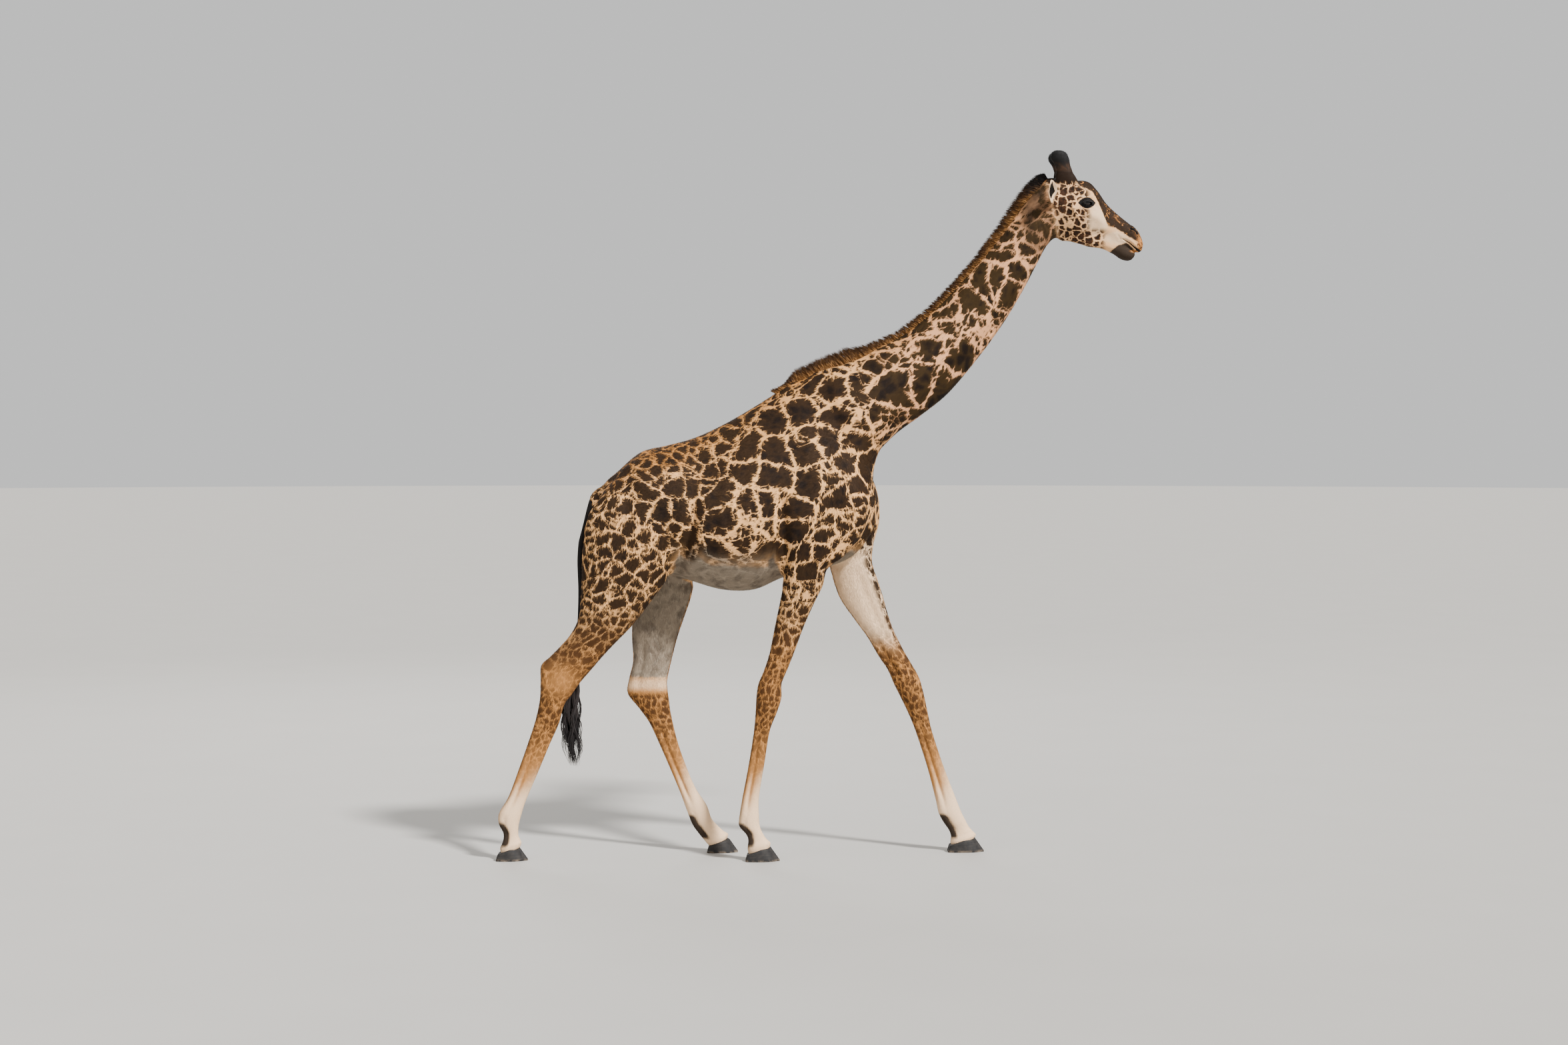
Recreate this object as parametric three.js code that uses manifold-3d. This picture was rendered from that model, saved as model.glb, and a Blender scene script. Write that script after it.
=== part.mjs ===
// A life-size adult Masai giraffe in mid walk, as a still museum model.
// Millimetres, +X the way the animal walks, +Y its left side, +Z up, the floor at Z = 0.
// The body is lofted whole from named sections, then parted with thin cuts into its named parts.
import * as THREE from "three";
import { LoftGeometry } from "three/addons/geometries/LoftGeometry.js";
import { mergeVertices } from "three/addons/utils/BufferGeometryUtils.js";
import Module from "manifold-3d";

const wasm = await Module();
wasm.setup();

// ---------------------------------------------------------------- driving sizes
const CUT = 0.5; // width of the cuts that part the body
const CLEAR = 0.4; // gap between a separate piece and the flesh that holds it
const FORE_TRACK = 165; // sideways distance of a fore hoof from the middle
const HIND_TRACK = 145; // the same for a hind hoof
const EYE = { radius: 24, x: 1436, y: 91, z: 3557 };

// One claw of a cloven hoof. It leans in by the slopes for each millimetre of height.
const CLAW = {
  width: 57,
  levels: [0, 22, 48, 78], // heights of its rings above the sole
  stations: [0, 0.17, 0.37, 0.6, 0.82, 1], // shares of its length, heel to toe
  heelSlope: 0.3,
  toeSlope: 0.72,
  taper: 0.14,
  split: 7, // gap between the two claws of a foot
  cleft: 104, // height that the gap reaches
  coronet: { heel: 33, rise: 0.3 }, // where the hair ends: its height at the heel, and its climb forward
};

// A cupped leaf that stands out from the head and leans back; `front` is the way its hollow faces.
const EAR = {
  root: [1272, 84, 3572],
  tip: [1214, 258, 3624],
  front: [0.93, 0, 0.37],
  width: 46,
  thick: 15,
  cup: 16,
  steps: 8,
  sides: 12,
};

const COAT = {
  tawny: { color: 0xb98a5c, roughness: 0.85 },
  pale: { color: 0xd9c3a5, roughness: 0.85 },
  brown: { color: 0x5a3a22, roughness: 0.85 },
  black: { color: 0x1c1715, roughness: 0.75 },
  horn: { color: 0x3a3531, roughness: 0.55 },
  wet: { color: 0x120d0a, roughness: 0.1 },
};

// ---------------------------------------------------------------- solids
// A closed geometry as a manifold-3d solid.
function solid(geometry) {
  const bare = new THREE.BufferGeometry();
  bare.setAttribute("position", geometry.attributes.position);
  bare.setIndex(geometry.index);
  const merged = mergeVertices(bare, 1e-3);
  return new wasm.Manifold(
    new wasm.Mesh({
      numProp: 3,
      vertProperties: merged.attributes.position.array,
      triVerts: new Uint32Array(merged.index.array),
    }),
  );
}

// A solid skinned over rings of points, all turned over where they run the other way round.
function skinned(rings, turned) {
  const order = turned ? rings.map((points) => [...points].reverse()) : rings;
  return solid(new LoftGeometry(order, { capStart: true, capEnd: true }));
}

// A manifold-3d solid as a geometry.
function geometryOf(body) {
  const made = body.getMesh();
  const geometry = new THREE.BufferGeometry();
  geometry.setAttribute("position", new THREE.BufferAttribute(made.vertProperties, 3));
  geometry.setIndex(new THREE.BufferAttribute(made.triVerts, 1));
  return geometry.toNonIndexed();
}

// ---------------------------------------------------------------- sections
// A section is drawn across the side view between two points, each [x, z]: `from` at the belly, the throat
// or the back of a leg, and `to` at the back, the nape or the front of a leg. `half` is its half width, `y`
// its place to the side, `widest` how far up it is widest, `keel` how much width is left at `from`, and
// `crest` how much at `to`.
function ring(section, sides, square) {
  const { from, to, half, y, widest, keel, crest } = section;
  const points = [];
  for (let i = 0; i < sides; i++) {
    const turn = (2 * Math.PI * i) / sides;
    const round = (value) => Math.sign(value) * Math.abs(value) ** (2 / square);
    const across = round(Math.cos(turn));
    const along = round(Math.sin(turn));
    const share = along > 0 ? widest + (1 - widest) * along : widest * (1 + along);
    const left = along > 0 ? crest : keel;
    const width = half * (1 - (1 - left) * along * along);
    points.push(
      new THREE.Vector3(
        from[0] + (to[0] - from[0]) * share,
        y + across * width,
        from[1] + (to[1] - from[1]) * share,
      ),
    );
  }
  return points;
}

// Sections between the named ones, by a Catmull-Rom spline through each of their numbers.
function between(sections, steps) {
  const filled = sections.map((s) => ({ y: 0, widest: 0.5, keel: 1, crest: 1, ...s }));
  const numbers = filled.map((s) => [...s.from, ...s.to, s.half, s.y, s.widest, s.keel, s.crest]);
  const splines = numbers[0].map(
    (_, which) => new THREE.SplineCurve(numbers.map((row, i) => new THREE.Vector2(i, row[which]))),
  );
  const count = (sections.length - 1) * steps;
  return Array.from({ length: count + 1 }, (_, i) => {
    const values = splines.map((spline) => spline.getPoint(i / count).y);
    const [fromX, fromZ, toX, toZ, half, y, widest, keel, crest] = values;
    return { from: [fromX, fromZ], to: [toX, toZ], half, y, widest, keel, crest };
  });
}

// A closed form lofted through sections. `grow` swells it all round, for cutting a neighbour clear of it.
function loft(sections, { sides = 16, steps = 2, square = 2, grow = 0 } = {}) {
  const rings = between(sections, steps).map((s) => {
    const reach = Math.hypot(s.to[0] - s.from[0], s.to[1] - s.from[1]) || 1;
    const more = (axis) => ((s.to[axis] - s.from[axis]) / reach) * grow;
    return ring(
      {
        ...s,
        from: [s.from[0] - more(0), s.from[1] - more(1)],
        to: [s.to[0] + more(0), s.to[1] + more(1)],
        half: s.half + grow,
      },
      sides,
      square,
    );
  });
  const [first, last] = [sections[0], sections.at(-1)];
  const run = [last.from[0] - first.from[0], last.from[1] - first.from[1]];
  const rise = [first.to[0] - first.from[0], first.to[1] - first.from[1]];
  return skinned(rings, run[0] * rise[1] < run[1] * rise[0]);
}

// ---------------------------------------------------------------- the body's sections
const TRUNK = [
  { from: [-1222, 1740], to: [-1206, 1930], half: 60 },
  { from: [-1200, 1660], to: [-1178, 2034], half: 150, widest: 0.55, crest: 0.8 },
  { from: [-1110, 1600], to: [-1100, 2108], half: 215, widest: 0.6 },
  { from: [-975, 1570], to: [-975, 2212], half: 255, widest: 0.6, crest: 0.75 },
  { from: [-830, 1555], to: [-830, 2250], half: 280, widest: 0.52, crest: 0.6 },
  { from: [-680, 1502], to: [-680, 2292], half: 305, widest: 0.46, crest: 0.55 },
  { from: [-520, 1460], to: [-520, 2366], half: 325, widest: 0.42, crest: 0.5 },
  { from: [-360, 1462], to: [-360, 2458], half: 318, widest: 0.42, crest: 0.45 },
  { from: [-220, 1520], to: [-200, 2560], half: 290, widest: 0.42, crest: 0.4 },
  { from: [-90, 1565], to: [-60, 2652], half: 260, widest: 0.42, crest: 0.38 },
  { from: [60, 1590], to: [75, 2680], half: 232, widest: 0.42, crest: 0.4 },
  { from: [185, 1650], to: [170, 2480], half: 205, widest: 0.45, crest: 0.7 },
  { from: [275, 1760], to: [245, 2260], half: 150, widest: 0.5 },
  { from: [308, 1850], to: [285, 2130], half: 75 },
];

const NECK = [
  { from: [120, 2000], to: [-60, 2655], half: 190, crest: 0.4 },
  { from: [265, 2155], to: [75, 2692], half: 182, crest: 0.35 },
  { from: [405, 2302], to: [205, 2720], half: 160, crest: 0.35 },
  { from: [552, 2412], to: [330, 2790], half: 140, crest: 0.4 },
  { from: [700, 2533], to: [465, 2860], half: 125, crest: 0.45 },
  { from: [868, 2733], to: [625, 2990], half: 112, crest: 0.5 },
  { from: [1007, 2926], to: [765, 3135], half: 102, crest: 0.5 },
  { from: [1114, 3109], to: [897, 3283], half: 96, crest: 0.5 },
  { from: [1182, 3240], to: [990, 3400], half: 92, crest: 0.55 },
  { from: [1235, 3335], to: [1085, 3530], half: 88, crest: 0.6 },
  { from: [1310, 3410], to: [1175, 3655], half: 78, crest: 0.7 },
  { from: [1375, 3470], to: [1270, 3660], half: 50 },
];

// Skull, face and upper lip.
const HEAD = [
  { from: [1215, 3480], to: [1196, 3640], half: 45 },
  { from: [1262, 3392], to: [1224, 3696], half: 82, widest: 0.6, keel: 0.55, crest: 0.75 },
  { from: [1318, 3358], to: [1302, 3700], half: 96, widest: 0.62, keel: 0.5, crest: 0.8 },
  { from: [1380, 3344], to: [1378, 3688], half: 107, widest: 0.62, keel: 0.45, crest: 0.72 },
  { from: [1434, 3334], to: [1448, 3677], half: 109, widest: 0.62, keel: 0.42, crest: 0.6 },
  { from: [1482, 3328], to: [1503, 3634], half: 92, widest: 0.6, keel: 0.45, crest: 0.55 },
  { from: [1530, 3328], to: [1556, 3561], half: 72, widest: 0.55, keel: 0.55, crest: 0.55 },
  { from: [1572, 3326], to: [1618, 3503], half: 57, widest: 0.5, keel: 0.7, crest: 0.6 },
  { from: [1618, 3322], to: [1678, 3455], half: 54, widest: 0.5, keel: 0.8, crest: 0.75 },
  { from: [1670, 3308], to: [1722, 3418], half: 57, widest: 0.5, keel: 0.85, crest: 0.8 },
  { from: [1712, 3295], to: [1748, 3370], half: 50, widest: 0.5, keel: 0.9, crest: 0.85 },
  { from: [1738, 3294], to: [1757, 3324], half: 26 },
];

// Mandible, chin and lower lip.
const JAW = [
  { from: [1362, 3358], to: [1372, 3420], half: 46 },
  { from: [1445, 3328], to: [1455, 3405], half: 50 },
  { from: [1530, 3314], to: [1545, 3385], half: 46 },
  { from: [1590, 3286], to: [1612, 3368], half: 43 },
  { from: [1632, 3260], to: [1655, 3345], half: 46 },
  { from: [1674, 3253], to: [1690, 3318], half: 44 },
  { from: [1705, 3265], to: [1712, 3296], half: 28 },
];

const OSSICONE = [
  { from: [1262, 3650], to: [1408, 3660], half: 42, y: 52 },
  { from: [1269, 3712], to: [1376, 3700], half: 37, y: 55 },
  { from: [1270, 3742], to: [1354, 3736], half: 30, y: 58 },
  { from: [1260, 3769], to: [1342, 3763], half: 29, y: 61 },
  { from: [1241, 3799], to: [1330, 3797], half: 34, y: 63 },
  { from: [1245, 3827], to: [1311, 3827], half: 32, y: 64 },
  { from: [1262, 3842], to: [1290, 3842], half: 16, y: 64 },
];

// The fore leg that bears weight, on the right, and the one that reaches forward, on the left.
const FORE_BEARING = {
  side: -1,
  track: FORE_TRACK,
  shoulder: [
    { from: [-130, 2400], to: [30, 2430], half: 40, y: 105 },
    { from: [-150, 2220], to: [130, 2270], half: 78, y: 138 },
    { from: [-165, 2010], to: [225, 2060], half: 100, y: 155 },
    { from: [-190, 1800], to: [262, 1850], half: 104, y: 162 },
    { from: [-222, 1660], to: [150, 1670], half: 92, y: 168 },
  ],
  limb: [
    { from: [-212, 1590], to: [45, 1592], half: 82 },
    { from: [-205, 1490], to: [14, 1492], half: 71 },
    { from: [-220, 1400], to: [-30, 1402], half: 62 },
    { from: [-247, 1270], to: [-86, 1276], half: 54 },
    { from: [-275, 1130], to: [-138, 1136], half: 48 },
    { from: [-305, 1035], to: [-174, 1045], half: 48 },
    { from: [-337, 955], to: [-207, 962], half: 53 },
    { from: [-347, 880], to: [-209, 885], half: 54 },
    { from: [-352, 800], to: [-233, 806], half: 47 },
    { from: [-362, 695], to: [-272, 700], half: 35 },
    { from: [-390, 520], to: [-300, 525], half: 32 },
    { from: [-424, 340], to: [-329, 346], half: 34 },
    { from: [-441, 235], to: [-329, 242], half: 45 },
    { from: [-440, 188], to: [-325, 190], half: 46 },
    { from: [-404, 145], to: [-308, 148], half: 38 },
    { from: [-392, 112], to: [-288, 118], half: 39 },
    { from: [-396, 66], to: [-256, 82], half: 50 },
    { from: [-388, 34], to: [-240, 40], half: 46 },
  ],
  hoof: { heel: -406, toe: -212 },
};
const FORE_REACHING = {
  side: 1,
  track: FORE_TRACK,
  shoulder: [
    { from: [-115, 2400], to: [50, 2430], half: 40, y: 105 },
    { from: [-120, 2220], to: [170, 2270], half: 78, y: 138 },
    { from: [-105, 2010], to: [295, 2060], half: 100, y: 155 },
    { from: [-60, 1800], to: [330, 1860], half: 104, y: 162 },
    { from: [0, 1670], to: [298, 1700], half: 92, y: 168 },
  ],
  limb: [
    { from: [50, 1586], to: [292, 1602], half: 82 },
    { from: [82, 1480], to: [322, 1502], half: 71 },
    { from: [119, 1390], to: [348, 1424], half: 62 },
    { from: [193, 1285], to: [376, 1325], half: 55 },
    { from: [262, 1190], to: [408, 1232], half: 49 },
    { from: [322, 1088], to: [458, 1130], half: 47 },
    { from: [374, 1010], to: [504, 1050], half: 48 },
    { from: [412, 925], to: [550, 968], half: 53 },
    { from: [452, 845], to: [576, 880], half: 52 },
    { from: [500, 742], to: [600, 772], half: 42 },
    { from: [538, 642], to: [624, 668], half: 34 },
    { from: [596, 460], to: [684, 486], half: 32 },
    { from: [640, 290], to: [748, 318], half: 36 },
    { from: [657, 215], to: [786, 222], half: 46 },
    { from: [684, 162], to: [808, 178], half: 45 },
    { from: [712, 122], to: [828, 140], half: 39 },
    { from: [726, 84], to: [852, 112], half: 41 },
    { from: [722, 52], to: [880, 78], half: 50 },
    { from: [732, 30], to: [886, 38], half: 46 },
  ],
  hoof: { heel: 708, toe: 918 },
};

// The hind leg that pushes off behind, on the right, and the one that has swung forward, on the left.
const HIND_PUSHING = {
  side: -1,
  track: HIND_TRACK,
  shoulder: [
    { from: [-1130, 2050], to: [-900, 2120], half: 60, y: 120 },
    { from: [-1250, 1880], to: [-760, 1985], half: 118, y: 138 },
    { from: [-1284, 1690], to: [-726, 1760], half: 130, y: 150 },
    { from: [-1290, 1520], to: [-790, 1590], half: 118, y: 158 },
    { from: [-1296, 1395], to: [-890, 1440], half: 98, y: 160 },
  ],
  limb: [
    { from: [-1308, 1314], to: [-1014, 1278], half: 82 },
    { from: [-1350, 1230], to: [-1108, 1180], half: 70 },
    { from: [-1404, 1166], to: [-1175, 1108], half: 61 },
    { from: [-1464, 1106], to: [-1240, 1032], half: 55 },
    { from: [-1510, 1060], to: [-1302, 960], half: 53 },
    { from: [-1514, 978], to: [-1347, 896], half: 50 },
    { from: [-1518, 885], to: [-1384, 845], half: 44 },
    { from: [-1540, 775], to: [-1412, 745], half: 35 },
    { from: [-1582, 645], to: [-1466, 622], half: 32 },
    { from: [-1632, 505], to: [-1524, 482], half: 32 },
    { from: [-1690, 350], to: [-1590, 330], half: 35 },
    { from: [-1742, 258], to: [-1618, 246], half: 45 },
    { from: [-1744, 200], to: [-1632, 190], half: 45 },
    { from: [-1720, 148], to: [-1634, 140], half: 38 },
    { from: [-1722, 105], to: [-1624, 112], half: 40 },
    { from: [-1738, 62], to: [-1606, 80], half: 50 },
    { from: [-1730, 32], to: [-1594, 38], half: 46 },
  ],
  hoof: { heel: -1757, toe: -1578 },
};
const HIND_SWUNG = {
  side: 1,
  track: HIND_TRACK,
  shoulder: [
    { from: [-1120, 2050], to: [-880, 2120], half: 60, y: 120 },
    { from: [-1235, 1880], to: [-725, 1975], half: 118, y: 138 },
    { from: [-1230, 1690], to: [-675, 1740], half: 130, y: 150 },
    { from: [-1140, 1530], to: [-680, 1560], half: 118, y: 158 },
    { from: [-1065, 1405], to: [-705, 1420], half: 98, y: 160 },
  ],
  limb: [
    { from: [-1038, 1290], to: [-745, 1300], half: 82 },
    { from: [-1036, 1180], to: [-782, 1190], half: 68 },
    { from: [-1030, 1060], to: [-812, 1075], half: 58 },
    { from: [-1052, 960], to: [-832, 990], half: 53 },
    { from: [-1060, 880], to: [-840, 935], half: 50 },
    { from: [-1000, 800], to: [-832, 865], half: 45 },
    { from: [-940, 715], to: [-818, 765], half: 37 },
    { from: [-880, 585], to: [-784, 622], half: 32 },
    { from: [-826, 460], to: [-740, 492], half: 32 },
    { from: [-772, 330], to: [-684, 358], half: 34 },
    { from: [-736, 232], to: [-622, 262], half: 44 },
    { from: [-704, 152], to: [-596, 190], half: 45 },
    { from: [-668, 100], to: [-566, 152], half: 39 },
    { from: [-640, 66], to: [-530, 118], half: 40 },
    { from: [-618, 40], to: [-492, 84], half: 50 },
    { from: [-600, 26], to: [-480, 40], half: 46 },
  ],
  hoof: { heel: -622, toe: -444 },
};

// The dock of the tail, then its tuft of long hair.
const TAIL = [
  { from: [-1180, 2040], to: [-1135, 1960], half: 36 },
  { from: [-1266, 1960], to: [-1212, 1912], half: 33 },
  { from: [-1306, 1814], to: [-1258, 1796], half: 28 },
  { from: [-1326, 1640], to: [-1284, 1648], half: 23 },
  { from: [-1322, 1440], to: [-1284, 1442], half: 20 },
  { from: [-1330, 1240], to: [-1296, 1240], half: 18 },
  { from: [-1348, 1058], to: [-1314, 1054], half: 18 },
  { from: [-1366, 965], to: [-1316, 957], half: 25 },
  { from: [-1394, 850], to: [-1316, 842], half: 35 },
  { from: [-1408, 730], to: [-1312, 722], half: 38 },
  { from: [-1398, 600], to: [-1306, 590], half: 30 },
  { from: [-1372, 495], to: [-1318, 485], half: 14 },
];

// The standing mane: `from` is sunk in the crest of the neck, `to` is the tips of the hair.
const MANE = [
  { from: [-235, 2510], to: [-246, 2536], half: 8 },
  { from: [-170, 2540], to: [-200, 2600], half: 16, crest: 0.5 },
  { from: [-80, 2610], to: [-140, 2682], half: 18, crest: 0.45 },
  { from: [30, 2650], to: [0, 2745], half: 19, crest: 0.45 },
  { from: [140, 2670], to: [120, 2798], half: 20, crest: 0.45 },
  { from: [270, 2720], to: [235, 2814], half: 20, crest: 0.45 },
  { from: [440, 2810], to: [395, 2878], half: 20, crest: 0.45 },
  { from: [640, 2960], to: [560, 3000], half: 20, crest: 0.45 },
  { from: [785, 3110], to: [690, 3130], half: 20, crest: 0.45 },
  { from: [915, 3265], to: [825, 3284], half: 20, crest: 0.45 },
  { from: [1020, 3400], to: [935, 3438], half: 20, crest: 0.45 },
  { from: [1120, 3530], to: [1033, 3592], half: 19, crest: 0.45 },
  { from: [1190, 3620], to: [1099, 3676], half: 17, crest: 0.45 },
  { from: [1222, 3655], to: [1162, 3728], half: 16, crest: 0.5 },
  { from: [1240, 3680], to: [1210, 3740], half: 10 },
];

// ---------------------------------------------------------------- ears, eyes, hooves
function ear(side) {
  const { width, thick, cup, steps, sides } = EAR;
  const root = new THREE.Vector3(...EAR.root);
  const reach = new THREE.Vector3(...EAR.tip).sub(root);
  const front = new THREE.Vector3(...EAR.front).projectOnPlane(reach.clone().normalize()).normalize();
  const edge = new THREE.Vector3().crossVectors(reach, front).normalize();
  const rings = Array.from({ length: steps + 1 }, (_, i) => {
    const share = i / steps;
    const leaf = Math.sin(Math.PI * (0.16 + 0.82 * share)) ** 0.8; // a stalk, a broad middle and a point
    const open = Math.sin(Math.PI * Math.min(1, 1.1 * share)); // how far the hollow has opened
    return Array.from({ length: sides }, (_, j) => {
      const turn = (2 * Math.PI * j) / sides;
      const across = Math.cos(turn) * width * leaf;
      const hollow = cup * (1 - (across / width) ** 2) * leaf * open;
      const inside = Math.sin(turn) > 0;
      const depth = Math.sin(turn) * thick * (1 - 0.6 * share) * leaf - hollow * (inside ? 1 : 0.6);
      const point = root.clone().addScaledVector(reach, share);
      point.addScaledVector(edge, across).addScaledVector(front, depth);
      return point.setY(point.y * side);
    });
  });
  return skinned(rings, side > 0);
}

function eyeball(side, grow = 0) {
  const ball = new THREE.SphereGeometry(EYE.radius + grow, 12, 9);
  ball.translate(EYE.x, EYE.y * side, EYE.z);
  return solid(ball);
}

// A claw lofted up from its flat sole: straight inside, round outside, narrowest at the toe.
function claw({ heel, toe }, track, outward) {
  const inner = track + (outward * CLAW.split) / 2;
  const rings = CLAW.levels.map((z) => {
    const back = heel + z * CLAW.heelSlope;
    const front = toe - z * CLAW.toeSlope;
    const outline = CLAW.stations.map((share) => {
      const round = Math.sqrt(Math.max(0.05, 1 - Math.abs(1.75 * share - 0.62) ** 2.6));
      const width = (CLAW.width - z * CLAW.taper) * round * (1 - 0.25 * share ** 3);
      return new THREE.Vector3(back + (front - back) * share, inner + outward * width, z);
    });
    return [new THREE.Vector3(front, inner, z), new THREE.Vector3(back, inner, z), ...outline];
  });
  return skinned(rings, outward > 0);
}

// ---------------------------------------------------------------- cuts
// A blade CUT thick that follows side-view points [x, z] and reaches from y `near` to y `far`.
function blade(path, near, far) {
  const edge = path.map(([x, z]) => new THREE.Vector2(x, z));
  const offset = edge.map((p, i) => {
    const ahead = edge[Math.min(i + 1, edge.length - 1)];
    const behind = edge[Math.max(i - 1, 0)];
    const run = ahead.clone().sub(behind).normalize();
    return new THREE.Vector2(p.x - run.y * CUT, p.y + run.x * CUT);
  });
  const outline = new THREE.Shape([...edge, ...offset.reverse()]);
  const plate = new THREE.ExtrudeGeometry(outline, { depth: far - near, bevelEnabled: false });
  plate.rotateX(Math.PI / 2); // the outline's second axis becomes Z and the depth runs to -Y
  plate.translate(0, far, 0);
  return solid(plate);
}

// ---------------------------------------------------------------- one whole body
// A leg's sections from the shoulder or hip down, put to its own side. The limb drifts from under the
// shoulder to its track, and has reached it by the knee or hock.
function legSections({ side, track, shoulder, limb }) {
  const knee = 0.4 * (limb.length - 1);
  const top = shoulder.map((s) => ({ ...s, y: s.y * side }));
  const down = limb.map((s, i) => {
    const y = THREE.MathUtils.lerp(shoulder.at(-1).y, track, Math.min(1, (i + 1) / knee));
    return { ...s, y: y * side };
  });
  return [...top, ...down];
}

const LEGS = {
  front_right: FORE_BEARING,
  front_left: FORE_REACHING,
  hind_right: HIND_PUSHING,
  hind_left: HIND_SWUNG,
};

// Every form that is one flesh, swollen by `grow`.
function flesh(grow = 0) {
  return wasm.Manifold.union([
    loft(TRUNK, { sides: 20, steps: 1, square: 2.1, grow }),
    loft(NECK, { sides: 16, steps: 1, square: 2.1, grow }),
    loft(HEAD, { sides: 16, square: 2.2, grow }),
    loft(JAW, { sides: 12, steps: 1, square: 2.3, grow }),
    loft(TAIL, { sides: 8, steps: 1, grow }),
    ...[-1, 1].map((side) => loft(OSSICONE.map((s) => ({ ...s, y: s.y * side })), { sides: 10, grow })),
    ...Object.values(LEGS).flatMap((leg) => [
      loft(legSections(leg), { sides: 12, steps: 1, square: 2.2, grow }),
      claw(leg.hoof, leg.track * leg.side, 1),
      claw(leg.hoof, leg.track * leg.side, -1),
    ]),
  ]);
}

const REACH = 600; // wider than any part of the body
const BOTH = [-REACH, REACH];
const RIGHT = [-REACH, -40];
const LEFT = [40, REACH];
const MOUTH = [
  [1775, 3262],
  [1722, 3296],
  [1655, 3357],
  [1560, 3385],
  [1420, 3398],
  [1330, 3330],
];
const CUTS = [
  blade([[1196, 3740], [1262, 3340]], ...BOTH), // head from neck
  blade(MOUTH, ...BOTH),
  blade([[90, 2800], [215, 2240], [350, 2120]], ...BOTH), // neck from trunk
  blade([[1235, 3728], [1430, 3706]], ...BOTH), // ossicones
  blade([[-1290, 2030], [-1224, 1945], [-1238, 1850], [-1252, 1650]], -70, 70), // tail from rump
  blade([[-1390, 1057], [-1290, 1055]], -70, 70), // tuft from tail
  blade([[-280, 1490], [130, 1572]], ...RIGHT), // elbows
  blade([[-30, 1560], [360, 1565]], ...LEFT),
  blade([[-420, 912], [-150, 930]], ...RIGHT), // knees
  blade([[380, 895], [640, 962]], ...LEFT),
  blade([[-1420, 1452], [-780, 1498]], ...RIGHT), // thighs
  blade([[-1180, 1484], [-620, 1492]], ...LEFT),
  blade([[-1570, 985], [-1280, 870]], ...RIGHT), // hocks
  blade([[-1085, 830], [-770, 930]], ...LEFT),
];

// The cuts of one foot: hair from hoof along the coronet, and claw from claw.
function footCuts({ hoof, side, track }) {
  const past = 30; // how far the cuts run beyond the hoof
  const [back, front] = [hoof.heel - past, hoof.toe + past];
  const height = (x) => CLAW.coronet.heel + (x - hoof.heel) * CLAW.coronet.rise;
  const coronet = blade([[back, height(back)], [front, height(front)]], ...(side < 0 ? RIGHT : LEFT));
  const cleft = new THREE.BoxGeometry(front - back, CLAW.split, CLAW.cleft + past);
  cleft.translate((front + back) / 2, side * track, (CLAW.cleft - past) / 2);
  return [coronet, solid(cleft)];
}

// ---------------------------------------------------------------- the pieces by name
// A point inside each piece of flesh tells which piece it is.
const middle = ({ from, to, y = 0 }) => [(from[0] + to[0]) / 2, y, (from[1] + to[1]) / 2];
const seeds = {
  head: middle(HEAD[4]),
  lower_jaw: middle(JAW[3]),
  neck: middle(NECK[4]),
  trunk: middle(TRUNK[6]),
  tail: middle(TAIL[4]),
  tail_tuft: middle(TAIL[9]),
  ossicone_left: middle(OSSICONE[4]),
  ossicone_right: middle({ ...OSSICONE[4], y: -OSSICONE[4].y }),
};
for (const [name, { side, track, limb, hoof }] of Object.entries(LEGS)) {
  const y = side * track;
  seeds[`leg_${name}_upper`] = middle({ ...limb[3], y });
  seeds[`leg_${name}_lower`] = middle({ ...limb[11], y });
  const sole = { from: [hoof.heel, CLAW.levels[1]], to: [hoof.toe, CLAW.levels[1]] };
  seeds[`hoof_${name}_inner`] = middle({ ...sole, y: y - (side * CLAW.width) / 2 });
  seeds[`hoof_${name}_outer`] = middle({ ...sole, y: y + (side * CLAW.width) / 2 });
}

function nameOf(body) {
  const found = Object.entries(seeds).find(([, point]) => {
    const speck = new THREE.OctahedronGeometry(2).translate(...point);
    return body.intersect(solid(speck)).volume() > 0;
  });
  if (!found) throw new Error("a cut left a piece that has no name");
  return found[0];
}

const sockets = [eyeball(1, CLEAR), eyeball(-1, CLEAR)];
const cuts = [...sockets, ...CUTS, ...Object.values(LEGS).flatMap(footCuts)];
const swollen = flesh(CLEAR);
const headroom = wasm.Manifold.union([swollen, ...sockets]);
const parted = wasm.Manifold.difference([flesh(), ...cuts]).decompose();
const pieces = new Map(parted.map((body) => [nameOf(body), body]));
pieces.set("eye_left", eyeball(1));
pieces.set("eye_right", eyeball(-1));
pieces.set("ear_left", ear(1).subtract(headroom));
pieces.set("ear_right", ear(-1).subtract(headroom));
pieces.set("mane", loft(MANE, { sides: 6, steps: 1 }).subtract(swollen));

// ---------------------------------------------------------------- the model
function coatOf(name) {
  if (name.startsWith("eye")) return "wet";
  if (name.startsWith("hoof")) return "horn";
  if (name === "mane") return "brown";
  if (name === "tail_tuft" || name.startsWith("ossicone")) return "black";
  return name.endsWith("lower") || name === "head" || name === "lower_jaw" ? "pale" : "tawny";
}

const giraffe = new THREE.Group();
for (const [name, body] of pieces) {
  const mesh = new THREE.Mesh(geometryOf(body), new THREE.MeshStandardMaterial(COAT[coatOf(name)]));
  mesh.name = name;
  giraffe.add(mesh);
}

export default giraffe;
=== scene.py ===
"""The looks of a life-size Masai giraffe in mid walk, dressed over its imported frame.

Metres throughout: +X is the way the animal walks, +Y its left side, +Z up, and the floor is at Z = 0.
One skin is lofted from named sections of the body, inside the frame by the depth of the coat, and
everything that grows on it, such as tufts, mane and lashes, is rooted on that skin.
"""

import logging
import math
from collections.abc import Callable
from dataclasses import dataclass, replace
from enum import Enum
from functools import reduce

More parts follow.
